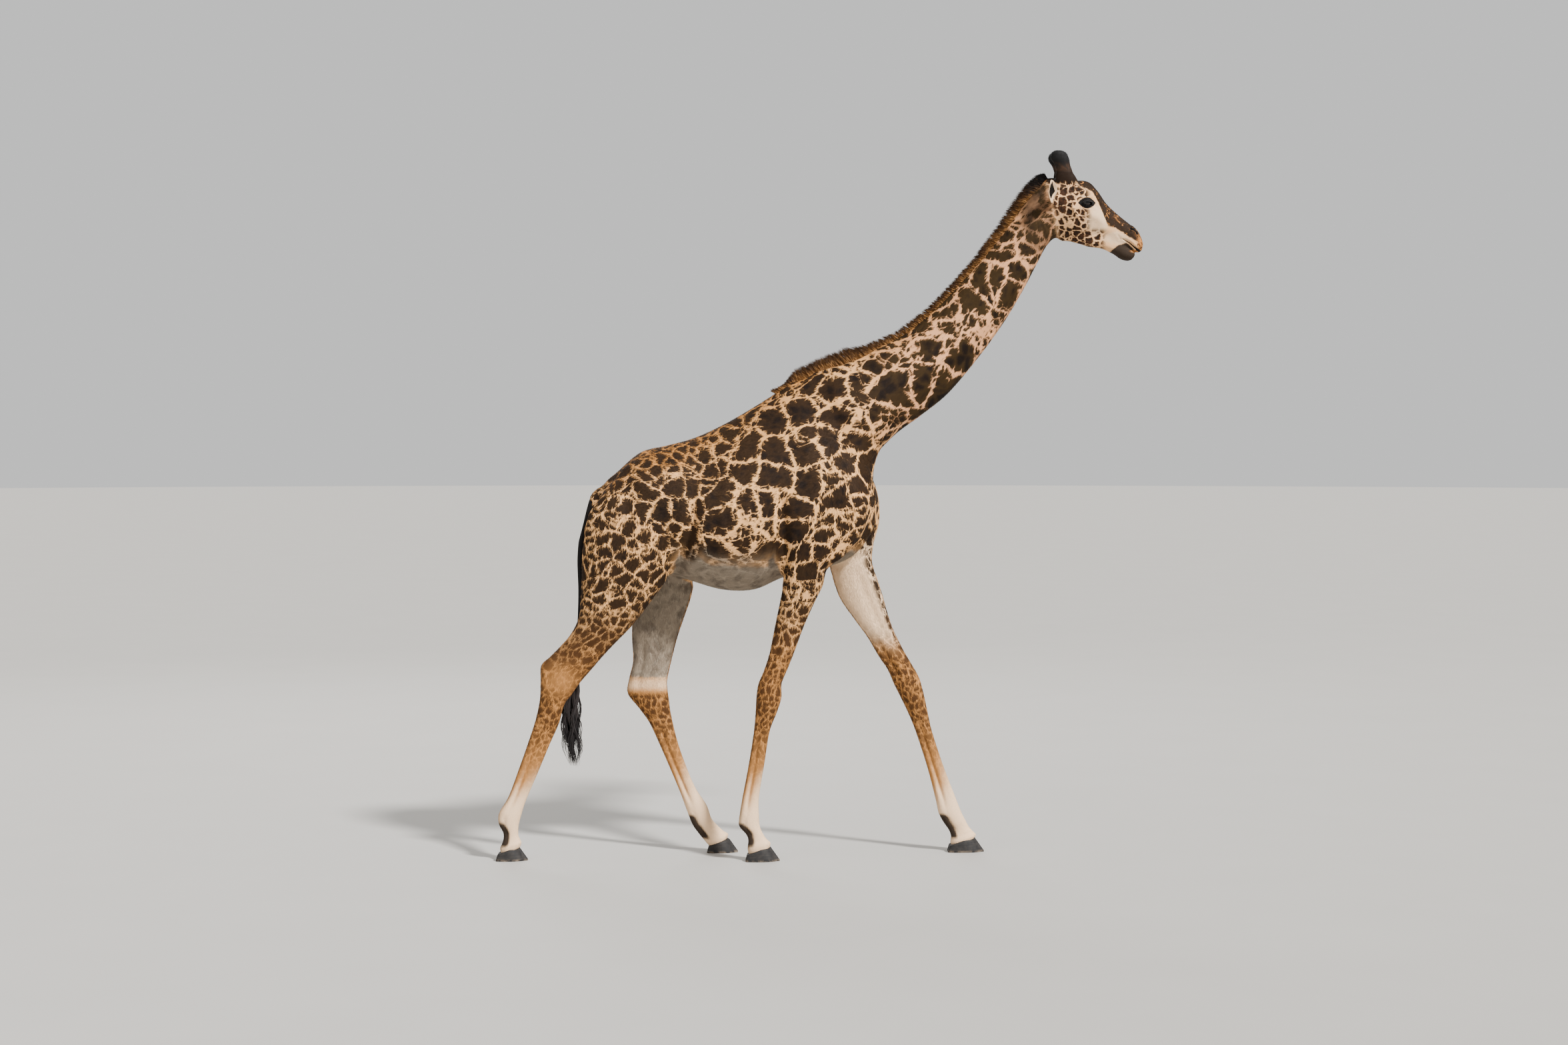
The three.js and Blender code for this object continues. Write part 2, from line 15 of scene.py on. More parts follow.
import bmesh
import bpy
import numpy as np
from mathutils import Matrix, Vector
from mathutils.bvhtree import BVHTree
from mathutils.kdtree import KDTree


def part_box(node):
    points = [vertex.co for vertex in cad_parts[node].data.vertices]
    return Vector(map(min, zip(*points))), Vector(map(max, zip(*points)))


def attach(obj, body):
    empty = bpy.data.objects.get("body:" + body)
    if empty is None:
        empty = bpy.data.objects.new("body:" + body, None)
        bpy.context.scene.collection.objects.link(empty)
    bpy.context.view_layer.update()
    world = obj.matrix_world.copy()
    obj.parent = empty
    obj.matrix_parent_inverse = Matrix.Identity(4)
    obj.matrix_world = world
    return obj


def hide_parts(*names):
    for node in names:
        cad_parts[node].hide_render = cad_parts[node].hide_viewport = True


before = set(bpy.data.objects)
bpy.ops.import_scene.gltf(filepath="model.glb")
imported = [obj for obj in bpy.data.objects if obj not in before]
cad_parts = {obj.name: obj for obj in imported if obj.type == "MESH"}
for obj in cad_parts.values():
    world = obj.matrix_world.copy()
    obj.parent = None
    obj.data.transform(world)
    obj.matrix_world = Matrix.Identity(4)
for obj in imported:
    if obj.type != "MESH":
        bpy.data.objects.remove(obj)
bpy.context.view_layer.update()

Array = np.ndarray
Point = tuple[float, float, float]
Pair = tuple[float, float]
Path = tuple[Pair, ...]
Object, Mesh, Material = bpy.types.Object, bpy.types.Mesh, bpy.types.Material

log = logging.getLogger("giraffe")
COAT_DEPTH = 0.003  # how far the skin lies inside the frame
UNWRAP = "OFBake"
HEAD_FLOOR = 3.2  # all of the head is higher than this


# ---- numbers
def fade(value: Array, low: float, high: float) -> Array:
    """Rises smoothly from 0 where value is low to 1 where it is high, which may be the lower."""
    share = np.clip((value - low) / (high - low), 0.0, 1.0)
    return share * share * (3.0 - 2.0 * share)


def unit(vectors: Array) -> Array:
    """Vectors scaled to length 1 along their last axis."""
    return vectors / np.maximum(np.linalg.norm(vectors, axis=-1, keepdims=True), 1e-12)


def spline(rows: Array, places: Array) -> Array:
    """A uniform Catmull-Rom spline through rows of numbers.

    Args:
        rows: (n, k) numbers, one row for each place 0, 1, ... n - 1.
        places: Where to read the spline.

    Returns:
        (len(places), k) numbers.
    """
    last = len(rows) - 1
    start = np.clip(np.floor(places).astype(int), 0, last - 1)
    t = (places - start)[:, None]
    a, b, c, d = (rows[np.clip(start + step, 0, last)] for step in (-1, 0, 1, 2))
    curve = (c - a) * t + (2 * a - 5 * b + 4 * c - d) * t**2 + (3 * b - a - 3 * c + d) * t**3
    return b + 0.5 * curve


def most(*masks: Array) -> Array:
    """The greatest of some masks, place by place."""
    return reduce(np.maximum, masks)


def blob(points: Array, centre: Point, radii: Point) -> Array:
    """(n,) numbers that are 1 at centre and fall to about a third at radii along X, Y and Z."""
    return np.exp(-(((points - np.array(centre)) / np.array(radii)) ** 2).sum(axis=1))


def folded_over(points: Array) -> Array:
    """(n, 3) places, with those on the right side of the body folded over to the left."""
    return points * (1, 0, 1) + np.abs(points) * (0, 1, 0)


class Side(Enum):
    """The two sides of the body, by the sign of Y."""

    LEFT = 1
    RIGHT = -1

    @property
    def word(self) -> str:
        """The side's name in lower case."""
        return self.name.lower()


# ---- meshes
def link(name: str, data: bpy.types.ID) -> Object:
    """Adds an object to the scene that holds a mesh, a light or a camera.

    Args:
        name: The object's name.
        data: What it holds.

    Returns:
        The object.
    """
    made = bpy.data.objects.new(name, data)
    bpy.context.scene.collection.objects.link(made)
    return made


def mesh_of(name: str, points: Array, faces: list[Array]) -> Mesh:
    """A mesh from arrays, smooth shaded.

    Args:
        name: The mesh's name.
        points: (n, 3) vertices.
        faces: Arrays of faces, each (m, corners), such as one of quads and one of triangles.

    Returns:
        The mesh.
    """
    faces = [part for part in faces if len(part)]
    totals = np.concatenate([np.full(len(part), part.shape[1]) for part in faces])
    corners = np.concatenate([part.ravel() for part in faces])
    mesh = bpy.data.meshes.new(name)
    mesh.vertices.add(len(points))
    mesh.vertices.foreach_set("co", np.ascontiguousarray(points, np.float32).ravel())
    mesh.loops.add(len(corners))
    mesh.loops.foreach_set("vertex_index", corners.astype(np.int32))
    mesh.polygons.add(len(totals))
    mesh.polygons.foreach_set("loop_start", np.concatenate([[0], np.cumsum(totals)[:-1]]).astype(np.int32))
    mesh.update(calc_edges=True)
    mesh.shade_smooth()
    return mesh


def read(items: bpy.types.bpy_prop_collection, key: str, width: int = 1, kind: type = np.int32) -> Array:
    """One property of all of a mesh's items.

    Args:
        items: The items, such as a mesh's vertices.
        key: The property.
        width: How many numbers it has.
        kind: Their type.

    Returns:
        (n, width) numbers, or (n,) where width is 1.
    """
    flat = np.empty(len(items) * width, kind)
    items.foreach_get(key, flat)
    return flat if width == 1 else flat.reshape(-1, width)


def places_of(mesh: Mesh) -> Array:
    """(n, 3) vertices of a mesh."""
    return read(mesh.vertices, "co", 3, np.float32).astype(float)


def put_places(mesh: Mesh, points: Array) -> None:
    """Moves a mesh's vertices to the given places."""
    mesh.vertices.foreach_set("co", np.ascontiguousarray(points, np.float32).ravel())
    mesh.update()


def normals_of(mesh: Mesh) -> Array:
    """(n, 3) vertex normals of a mesh."""
    return read(mesh.vertex_normals, "vector", 3, np.float32).astype(float)


def put_attribute(mesh: Mesh, name: str, values: Array, domain: str = "POINT") -> None:
    """Stores numbers or vectors on a mesh.

    Args:
        mesh: The mesh.
        name: The attribute's name.
        values: (n,) numbers or (n, 3) vectors.
        domain: The kind of item that has them.
    """
    kind, key = ("FLOAT_VECTOR", "vector") if values.ndim == 2 else ("FLOAT", "value")
    stored = mesh.attributes.get(name) or mesh.attributes.new(name, kind, domain)
    stored.data.foreach_set(key, np.ascontiguousarray(values, np.float32).ravel())


def attribute_of(mesh: Mesh, name: str) -> Array:
    """Reads numbers or vectors that a mesh holds.

    Args:
        mesh: The mesh.
        name: The attribute's name.

    Returns:
        (n,) numbers or (n, 3) vectors.
    """
    stored = mesh.attributes[name]
    key, width = ("vector", 3) if stored.data_type == "FLOAT_VECTOR" else ("value", 1)
    return read(stored.data, key, width, np.float32).astype(float)


def put_unwrap(mesh: Mesh, corners: Array) -> None:
    """Stores (loops, 2) places on the unwrap named UNWRAP."""
    layer = mesh.uv_layers.get(UNWRAP) or mesh.uv_layers.new(name=UNWRAP)
    layer.uv.foreach_set("vector", np.ascontiguousarray(corners, np.float32).ravel())


class Relaxer:
    """Smooths any numbers held on a mesh's vertices by averaging each with its neighbours."""

    def __init__(self, mesh: Mesh) -> None:
        """Finds each vertex's neighbours.

        Args:
            mesh: The mesh, whose edges are read once.
        """
        ends = read(mesh.edges, "vertices", 2)
        self.count = len(mesh.vertices)
        self.here = np.concatenate([ends[:, 0], ends[:, 1]])
        self.there = np.concatenate([ends[:, 1], ends[:, 0]])

    def run(self, values: Array, weight: Array, rounds: int) -> Array:
        """Averages values with their neighbours'.

        Args:
            values: (n, k) numbers on the vertices.
            weight: (n,) how far each vertex moves to its neighbours' average, from 0 to 1.
            rounds: How many times.

        Returns:
            The smoothed (n, k) numbers.
        """
        weight = np.where(weight > 1e-3, weight, 0.0)
        chosen = weight[self.here] > 0
        here, there = self.here[chosen], self.there[chosen]
        total = np.maximum(np.bincount(here, minlength=self.count), 1)
        values = values.copy()
        for _ in range(rounds):
            for column in values.T:
                mean = np.bincount(here, column[there], self.count) / total
                column += weight * (mean - column)
        return values


# ---- sections and lofts
@dataclass(frozen=True)
class Section:
    """One cross-section of the body, drawn across the side view between two [x, z] points.

    `low` is at the belly, the throat or the back of a leg, and `high` at the back, the nape or the front of
    a leg. `half` is the half width, `y` its place to the side, `widest` how far up it is widest, and `keel`
    and `crest` how much of the width is left at `low` and at `high`.
    """

    low: Pair
    high: Pair
    half: float
    y: float = 0.0
    widest: float = 0.5
    keel: float = 1.0
    crest: float = 1.0

    def numbers(self) -> list[float]:
        """The section as one row of numbers, to be splined."""
        return [*self.low, *self.high, self.half, self.y, self.widest, self.keel, self.crest]


Sections = tuple[Section, ...]


def cut(
    low_x: float, low_z: float, high_x: float, high_z: float, half: float, *more: float, **shape: float
) -> Section:
    """A Section from plain numbers; `more` and `shape` are its other fields."""
    return Section((low_x, low_z), (high_x, high_z), half, *more, **shape)


def cuts(*rows: tuple[float, ...]) -> Sections:
    """Sections from rows of plain numbers."""
    return tuple(cut(*row) for row in rows)


def on_side(sections: Sections, side: Side) -> Sections:
    """The sections of a left limb, or their mirror image for the right side."""
    return tuple(replace(section, y=section.y * side.value) for section in sections)


@dataclass(frozen=True)
class Plot:
    """A rectangle of the unwrap, from 0 to 1, that one form is laid out on."""

    left: float
    low: float
    wide: float
    tall: float

    def place(self, around: Array, along: Array) -> Array:
        """(n, 2) unwrap places of shares around and along a form."""
        return np.stack([self.left + self.wide * around, self.low + self.tall * along], axis=-1)


@dataclass(frozen=True)
class Grid:
    """Rings of points that skin a closed form, with the way that its hair lies."""

    name: str
    rings: Array
    lie: Array
    plot: Plot
    cap: tuple[float, ...] = (0.86, 0.66, 0.42, 0.18)

    def closed(self, ring: Array) -> list[Array]:
        """Rings that shrink to the middle of an end ring."""
        middle = ring.mean(axis=0)
        return [middle + (ring - middle) * share for share in self.cap]

    def build(self) -> Object:
        """Skins the rings as a closed object with its lie and its unwrap.

        Returns:
            The object.
        """
        first, last = self.closed(self.rings[0]), self.closed(self.rings[-1])
        rings = np.array([*first[::-1], *self.rings, *last])
        lie = np.concatenate([[self.lie[0]] * len(first), self.lie, [self.lie[-1]] * len(last)])
        count, sides = rings.shape[:2]
        index = np.arange(count * sides).reshape(count, sides)
        after = np.roll(index, -1, axis=1)
        quads = np.stack([index[:-1], after[:-1], after[1:], index[1:]], axis=-1).reshape(-1, 4)
        ends = count * sides + np.arange(2)
        fans = [
            np.stack([after[0], index[0], np.full(sides, ends[0])], axis=-1),
            np.stack([index[-1], after[-1], np.full(sides, ends[1])], axis=-1),
        ]
        points = np.concatenate([rings.reshape(-1, 3), rings[0].mean(0)[None], rings[-1].mean(0)[None]])
        if volume_of(points, quads) < 0:
            quads, fans = quads[:, ::-1], [fan[:, ::-1] for fan in fans]
        mesh = mesh_of(self.name, points, [quads, *fans])
        put_attribute(mesh, "lie", np.concatenate([lie.reshape(-1, 3), lie[0, :1], lie[-1, :1]]))
        self.unwrap(mesh, count, sides, len(first))
        return link(self.name, mesh)

    def unwrap(self, mesh: Mesh, count: int, sides: int, sunk: int) -> None:
        """Lays the form out on its plot, cut along its first side.

        Args:
            mesh: The form's mesh.
            count: How many rings it has, with the shrinking ones at its ends.
            sides: How many points a ring has.
            sunk: How many rings each end has.
        """
        corners, starts = read(mesh.loops, "vertex_index"), read(mesh.polygons, "loop_start")
        face = np.repeat(np.arange(len(starts)), np.diff([*starts, len(corners)]))
        side = (corners % sides).astype(float)
        low = np.full(len(starts), float(sides))
        np.minimum.at(low, face, side)
        high = np.zeros(len(starts))
        np.maximum.at(high, face, side)
        side[(side == 0) & (high[face] > sides / 2)] = sides
        along = np.clip((corners // sides - sunk) / max(count - 1 - 2 * sunk, 1), 0.0, 1.0)
        put_unwrap(mesh, self.plot.place(side / sides, along))


def volume_of(points: Array, quads: Array) -> float:
    """The signed volume inside quads, positive where they face outwards."""
    a, b, c, d = (points[quads[:, k]] for k in range(4))
    return float((np.cross(c - a, d - b) * (a + b + c + d)).sum() / 24)


@dataclass(frozen=True)
class Loft:
    """A closed form skinned through sections.

    `sides` is how many points go round it, `spacing` how far apart its rings are, `square` how far its
    rings are from an ellipse, at 2, towards a box, and `flow` is 1 where its hair lies from its first
    section to its last, and -1 where it lies the other way.
    """

    name: str
    sections: Sections
    plot: Plot
    sides: int = 64
    spacing: float = 0.012
    square: float = 2.1
    flow: float = 1.0

    def grid(self) -> Grid:
        """Rings through the sections, sunk by the depth of the coat.

        Returns:
            The grid that the form is built from.
        """
        rows = np.array([section.numbers() for section in self.sections])
        middles = (rows[:, 0:2] + rows[:, 2:4]) / 2
        gaps = np.linalg.norm(np.diff(middles, axis=0), axis=1)
        counts = np.maximum(gaps / self.spacing, 1).round().astype(int)
        steps = [np.arange(n) / n + k for k, n in enumerate(counts)]
        places = np.append(np.concatenate(steps), len(rows) - 1.0)
        low_x, low_z, high_x, high_z, half, y, widest, keel, crest = spline(rows, places).T[..., None]
        turn = 2 * np.pi * (np.arange(self.sides) + 0.5) / self.sides - np.pi / 2
        across, along = (np.sign(v) * np.abs(v) ** (2 / self.square) for v in (np.cos(turn), np.sin(turn)))
        reach = np.hypot(high_x - low_x, high_z - low_z)
        share = np.where(along > 0, widest + (1 - widest) * along, widest * (1 + along))
        share = 0.5 + (share - 0.5) * (1 - 2 * COAT_DEPTH / reach)
        width = (half - COAT_DEPTH) * (1 - (1 - np.where(along > 0, crest, keel)) * along**2)
        x, z = low_x + (high_x - low_x) * share, low_z + (high_z - low_z) * share
        rings = np.stack([x, y + across * width, z], axis=-1)
        return Grid(self.name, rings, unit(np.gradient(rings, axis=0)) * self.flow, self.plot)


# ---- folds and swellings
def nearest_on(path: Array, spots: Array) -> tuple[Array, Array]:
    """How far each spot is from a path of straight stretches, and from the path's nearer end.

    Args:
        path: (k, d) corners of the path.
        spots: (n, d) places.

    Returns:
        (n,) distances from the path, and (n,) shares of its length to its nearer end, from 0 to 0.5.
    """
    lengths = np.linalg.norm(np.diff(path, axis=0), axis=1)
    passed = np.concatenate([[0.0], np.cumsum(lengths)])
    best = np.full(len(spots), np.inf)
    walked = np.zeros(len(spots))
    for start, end, length, before in zip(path[:-1], path[1:], lengths, passed):
        run = end - start
        share = np.clip((spots - start) @ run / (run @ run), 0.0, 1.0)
        far = np.linalg.norm(spots - start - share[:, None] * run, axis=1)
        walked = np.where(far < best, before + share * length, walked)
        best = np.minimum(best, far)
    return best, np.minimum(walked, passed[-1] - walked) / passed[-1]


@dataclass(frozen=True)
class Fold:
    """A furrow in the skin along a side-view [x, z] path, or a ridge where its depth is below 0.

    `reach` is half its width, `sides` the sides of the body that have it, and `band` how far out from the
    middle plane it is found.
    """

    path: Path
    depth: float
    reach: float
    sides: tuple[int, ...] = (-1, 1)
    band: Pair = (0.0, 1.0)

    def push(self, points: Array, normals: Array) -> Array:
        """How far to move points along their normals.

        Args:
            points: (n, 3) places on the skin.
            normals: (n, 3) normals there.

        Returns:
            (n,) distances.
        """
        out = np.abs(points[:, 1])
        chosen = np.isin(np.sign(points[:, 1]), self.sides) & (out >= self.band[0]) & (out <= self.band[1])
        push = np.zeros(len(points))
        far, from_end = nearest_on(np.array(self.path), points[chosen][:, ::2])
        sideways = fade(np.abs(normals[chosen][:, 1]), 0.1, 0.5) * fade(from_end, -0.06, 0.25)
        push[chosen] = -self.depth * np.exp(-((far / self.reach) ** 2)) * sideways
        return push


@dataclass(frozen=True)
class Swell:
    """A soft bulge of the skin, or a hollow where its height is below 0, on both sides of the body."""

    centre: Point
    radii: Point
    height: float

    def push(self, points: Array, normals: Array) -> Array:
        """(n,) distances to move the points along their normals."""
        return self.height * blob(folded_over(points), self.centre, self.radii)


Relief = Fold | Swell


def press(points: Array, normals: Array, reliefs: tuple[Relief, ...]) -> Array:
    """The points moved along their normals by every fold and swelling at once."""
    return points + normals * sum(relief.push(points, normals) for relief in reliefs)[:, None]


MUSCLES: tuple[Relief, ...] = (
    Swell((0.2, 0.23, 2.0), (0.1, 0.12, 0.15), 0.022),  # point of the shoulder
    Swell((-0.04, 0.25, 2.2), (0.07, 0.12, 0.22), 0.014),  # shoulder blade
    Swell((-0.1, 0.27, 1.84), (0.09, 0.1, 0.14), 0.016),  # triceps
    Fold(((-0.21, 2.0), (-0.19, 1.8), (-0.2, 1.58)), 0.026, 0.028, band=(0.12, 0.5)),  # behind the elbow
    Fold(((-0.245, 1.92), (-0.24, 1.72), (-0.26, 1.6)), -0.01, 0.016, band=(0.16, 0.5)),
    Fold(((0.1, 2.42), (0.13, 2.2), (0.06, 2.02)), 0.012, 0.035, band=(0.1, 0.5)),  # before the blade
    Fold(((-0.67, 2.02), (-0.7, 1.8), (-0.76, 1.58), (-0.86, 1.48)), 0.03, 0.034, band=(0.12, 0.5)),  # flank
    Fold(((-0.62, 1.86), (-0.64, 1.7), (-0.7, 1.56)), -0.01, 0.028, band=(0.16, 0.5)),
    Swell((-0.8, 0.21, 2.13), (0.09, 0.1, 0.06), 0.02),  # point of the hip
    Swell((-1.14, 0.14, 2.0), (0.06, 0.07, 0.06), 0.012),  # pin bone
    Swell((-0.6, 0.22, 2.12), (0.12, 0.12, 0.09), -0.016),  # hollow before the hip
    Fold(((-1.02, 2.05), (-1.04, 1.8), (-1.1, 1.55), (-1.18, 1.38)), 0.01, 0.03, band=(0.1, 0.5)),
    Swell((-0.92, 0.24, 1.8), (0.12, 0.1, 0.2), 0.014),  # thigh
    Fold(
        ((1.16, 3.22), (0.92, 2.86), (0.62, 2.54), (0.34, 2.32), (0.24, 2.14)), 0.01, 0.03, band=(0.05, 0.3)
    ),  # under the neck's side
    Fold(((1.06, 3.36), (0.8, 3.0), (0.46, 2.72), (0.16, 2.58)), 0.008, 0.034, band=(0.04, 0.3)),
    Fold(((1.02, 3.16), (0.74, 2.78), (0.4, 2.5)), -0.007, 0.04, band=(0.05, 0.3)),
    *(
        Fold(
            ((x, 2.12 + 0.3 * (x + 0.5)), (x - 0.05, 1.92), (x - 0.03, 1.76)), 0.0022, 0.018, band=(0.2, 0.5)
        )
        for x in (-0.52, -0.455, -0.385, -0.32)
    ),  # between the ribs
    Swell((0.3, 0.0, 1.92), (0.06, 0.03, 0.16), -0.016),  # between the breast muscles
    Swell((0.27, 0.09, 1.93), (0.08, 0.07, 0.12), 0.014),
)


# ---- the forms of the body
@dataclass(frozen=True)
class Torso:
    """Trunk, neck and the dock of the tail, each lofted along the body."""

    trunk: Sections = (
        cut(-1.222, 1.74, -1.206, 1.93, 0.06), cut(-1.2, 1.66, -1.178, 2.034, 0.15, widest=0.55, crest=0.8),
        cut(-1.11, 1.6, -1.1, 2.108, 0.215, widest=0.6),
        cut(-0.975, 1.57, -0.975, 2.212, 0.255, widest=0.6, crest=0.75),
        cut(-0.83, 1.555, -0.83, 2.25, 0.28, widest=0.52, crest=0.6),
        cut(-0.68, 1.502, -0.68, 2.292, 0.305, widest=0.46, crest=0.55),
        cut(-0.52, 1.46, -0.52, 2.366, 0.325, widest=0.42, crest=0.5),
        cut(-0.36, 1.462, -0.36, 2.458, 0.318, widest=0.42, crest=0.45),
        cut(-0.22, 1.52, -0.2, 2.56, 0.29, widest=0.42, crest=0.4),
        cut(-0.09, 1.565, -0.06, 2.652, 0.26, widest=0.42, crest=0.38),
        cut(0.06, 1.59, 0.075, 2.68, 0.232, widest=0.42, crest=0.4),
        cut(0.185, 1.65, 0.17, 2.48, 0.205, widest=0.45, crest=0.7),
        cut(0.275, 1.76, 0.245, 2.26, 0.15, widest=0.5), cut(0.308, 1.85, 0.285, 2.13, 0.075),
    )
    neck: Sections = (
        cut(0.12, 2.0, -0.06, 2.655, 0.19, crest=0.4), cut(0.265, 2.155, 0.075, 2.692, 0.182, crest=0.35),
        cut(0.405, 2.302, 0.205, 2.72, 0.16, crest=0.35), cut(0.552, 2.412, 0.33, 2.79, 0.14, crest=0.4),
        cut(0.7, 2.533, 0.465, 2.86, 0.125, crest=0.45), cut(0.868, 2.733, 0.625, 2.99, 0.112, crest=0.5),
        cut(1.007, 2.926, 0.765, 3.135, 0.102, crest=0.5), cut(1.114, 3.109, 0.897, 3.283, 0.096, crest=0.5),
        cut(1.182, 3.24, 0.99, 3.4, 0.092, crest=0.55), cut(1.235, 3.335, 1.085, 3.53, 0.088, crest=0.6),
        cut(1.31, 3.41, 1.175, 3.655, 0.078, crest=0.7), cut(1.375, 3.47, 1.27, 3.66, 0.05),
    )
    dock: Sections = cuts(
        (-1.18, 2.04, -1.135, 1.96, 0.036), (-1.266, 1.96, -1.212, 1.912, 0.033),
        (-1.306, 1.814, -1.258, 1.796, 0.028), (-1.326, 1.64, -1.284, 1.648, 0.023),
        (-1.322, 1.44, -1.284, 1.442, 0.02), (-1.33, 1.24, -1.296, 1.24, 0.018),
        (-1.348, 1.058, -1.314, 1.054, 0.018), (-1.366, 0.965, -1.316, 0.957, 0.025),
    )

    def grids(self) -> list[Grid]:
        """The three forms, fine enough for the folds that are pressed in later.

        Returns:
            Their grids.
        """
        return [
            Loft("trunk_form", self.trunk, Plot(0.01, 0.51, 0.46, 0.47), sides=120, flow=-1).grid(),
            Loft("neck_form", self.neck, Plot(0.49, 0.51, 0.32, 0.47), sides=96, flow=-1).grid(),
            Loft("dock_form", self.dock, Plot(0.95, 0.51, 0.04, 0.47), 32, 0.008, 2.0).grid(),
        ]


@dataclass(frozen=True)
class Ear:
    """A cupped leaf that stands out from the head and leans back; `front` is the way its hollow faces."""

    root: Point = (1.274, 0.082, 3.566)
    tip: Point = (1.228, 0.25, 3.664)
    front: Point = (0.86, 0.42, -0.27)
    width: float = 0.047
    thick: float = 0.011
    cup: float = 0.022
    steps: int = 56
    sides: int = 64

    def axes(self) -> tuple[Array, Array, Array]:
        """The ear's own axes.

        Returns:
            From its root to its tip, the way it is wide, and the way that its hollow faces.
        """
        reach = np.array(self.tip) - self.root
        front = unit(np.array(self.front) - unit(reach) * np.dot(self.front, unit(reach)))
        return reach, unit(np.cross(reach, front)), front

    def leaf(self, share: Array) -> Array:
        """How wide the ear is along its length, as a share of its width: a stalk, a broad middle, a point."""
        return np.sin(np.pi * (0.16 + 0.82 * share)) ** 0.8

    def grid(self, side: Side) -> Grid:
        """Rings from the stalk to the tip of the ear on one side.

        Args:
            side: Which ear.

        Returns:
            The grid that the ear is built from.
        """
        reach, edge, front = self.axes()
        share = np.linspace(0.0, 1.0, self.steps + 1)[:, None]
        turn = (2 * np.pi * np.arange(self.sides) / self.sides)[None]
        leaf = self.leaf(share)
        opened = np.sin(np.pi * np.minimum(1.0, 1.1 * share))
        across = np.cos(turn) * (self.width - COAT_DEPTH) * leaf
        hollow = self.cup * (1 - (across / self.width) ** 2) * leaf * opened
        depth = np.sin(turn) * (self.thick * (1 - 0.6 * share) - 0.002) * leaf
        depth = depth - hollow * np.where(np.sin(turn) > 0, 1.12, 0.86)
        rings = np.array(self.root) + share[..., None] * reach + across[..., None] * edge
        rings = (rings + depth[..., None] * front) * (1, side.value, 1)
        plot = Plot(0.83 if side is Side.LEFT else 0.89, 0.8, 0.05, 0.17)
        return Grid(f"ear_{side.word}_form", rings, unit(np.gradient(rings, axis=0)), plot, cap=(0.6, 0.2))


@dataclass(frozen=True)
class HeadForm:
    """Skull, face and upper lip, with the mandible and the ears."""

    skull: Sections = (
        cut(1.215, 3.48, 1.196, 3.64, 0.045),
        cut(1.262, 3.392, 1.224, 3.696, 0.082, widest=0.6, keel=0.55, crest=0.75),
        cut(1.318, 3.358, 1.302, 3.7, 0.096, widest=0.62, keel=0.5, crest=0.8),
        cut(1.38, 3.344, 1.378, 3.688, 0.107, widest=0.62, keel=0.45, crest=0.72),
        cut(1.434, 3.334, 1.448, 3.677, 0.109, widest=0.62, keel=0.42, crest=0.6),
        cut(1.482, 3.328, 1.503, 3.634, 0.092, widest=0.6, keel=0.45, crest=0.55),
        cut(1.53, 3.328, 1.556, 3.561, 0.072, widest=0.55, keel=0.55, crest=0.55),
        cut(1.572, 3.326, 1.618, 3.503, 0.057, widest=0.5, keel=0.7, crest=0.6),
        cut(1.618, 3.322, 1.678, 3.455, 0.054, widest=0.5, keel=0.8, crest=0.75),
        cut(1.67, 3.308, 1.722, 3.418, 0.057, widest=0.5, keel=0.85, crest=0.8),
        cut(1.712, 3.295, 1.748, 3.37, 0.05, widest=0.5, keel=0.9, crest=0.85),
        cut(1.738, 3.294, 1.757, 3.324, 0.026),
    )
    jaw: Sections = cuts(
        (1.362, 3.358, 1.372, 3.42, 0.046), (1.445, 3.328, 1.455, 3.405, 0.05),
        (1.53, 3.314, 1.545, 3.385, 0.046), (1.59, 3.286, 1.612, 3.368, 0.043),
        (1.632, 3.26, 1.655, 3.345, 0.046), (1.674, 3.253, 1.69, 3.318, 0.044),
        (1.705, 3.265, 1.712, 3.296, 0.028),
    )
    pedicle: Sections = cuts(
        (1.29, 3.6, 1.376, 3.61, 0.022, 0.046), (1.266, 3.655, 1.406, 3.66, 0.036, 0.05),
        (1.269, 3.7, 1.39, 3.69, 0.036, 0.054), (1.272, 3.725, 1.372, 3.718, 0.032, 0.056),
        (1.278, 3.745, 1.354, 3.742, 0.024, 0.058),
    )
    ear: Ear = Ear()

    def grids(self) -> list[Grid]:
        """The head's forms, much finer than the body's.

        Returns:
            Their grids.
        """
        skull = Loft("skull_form", self.skull, Plot(0.01, 0.26, 0.4, 0.23), 144, 0.0036, 2.2, -1)
        jaw = Loft("jaw_form", self.jaw, Plot(0.43, 0.26, 0.2, 0.23), 96, 0.004, 2.3, -1)
        lofts = [skull, jaw]
        for side, left in ((Side.LEFT, 0.64), (Side.RIGHT, 0.67)):
            plot = Plot(left, 0.42, 0.025, 0.07)
            lofts.append(Loft(f"horn_root_{side.word}", on_side(self.pedicle, side), plot, 56, 0.004, 2.0))
        return [*(loft.grid() for loft in lofts), *(self.ear.grid(side) for side in Side)]


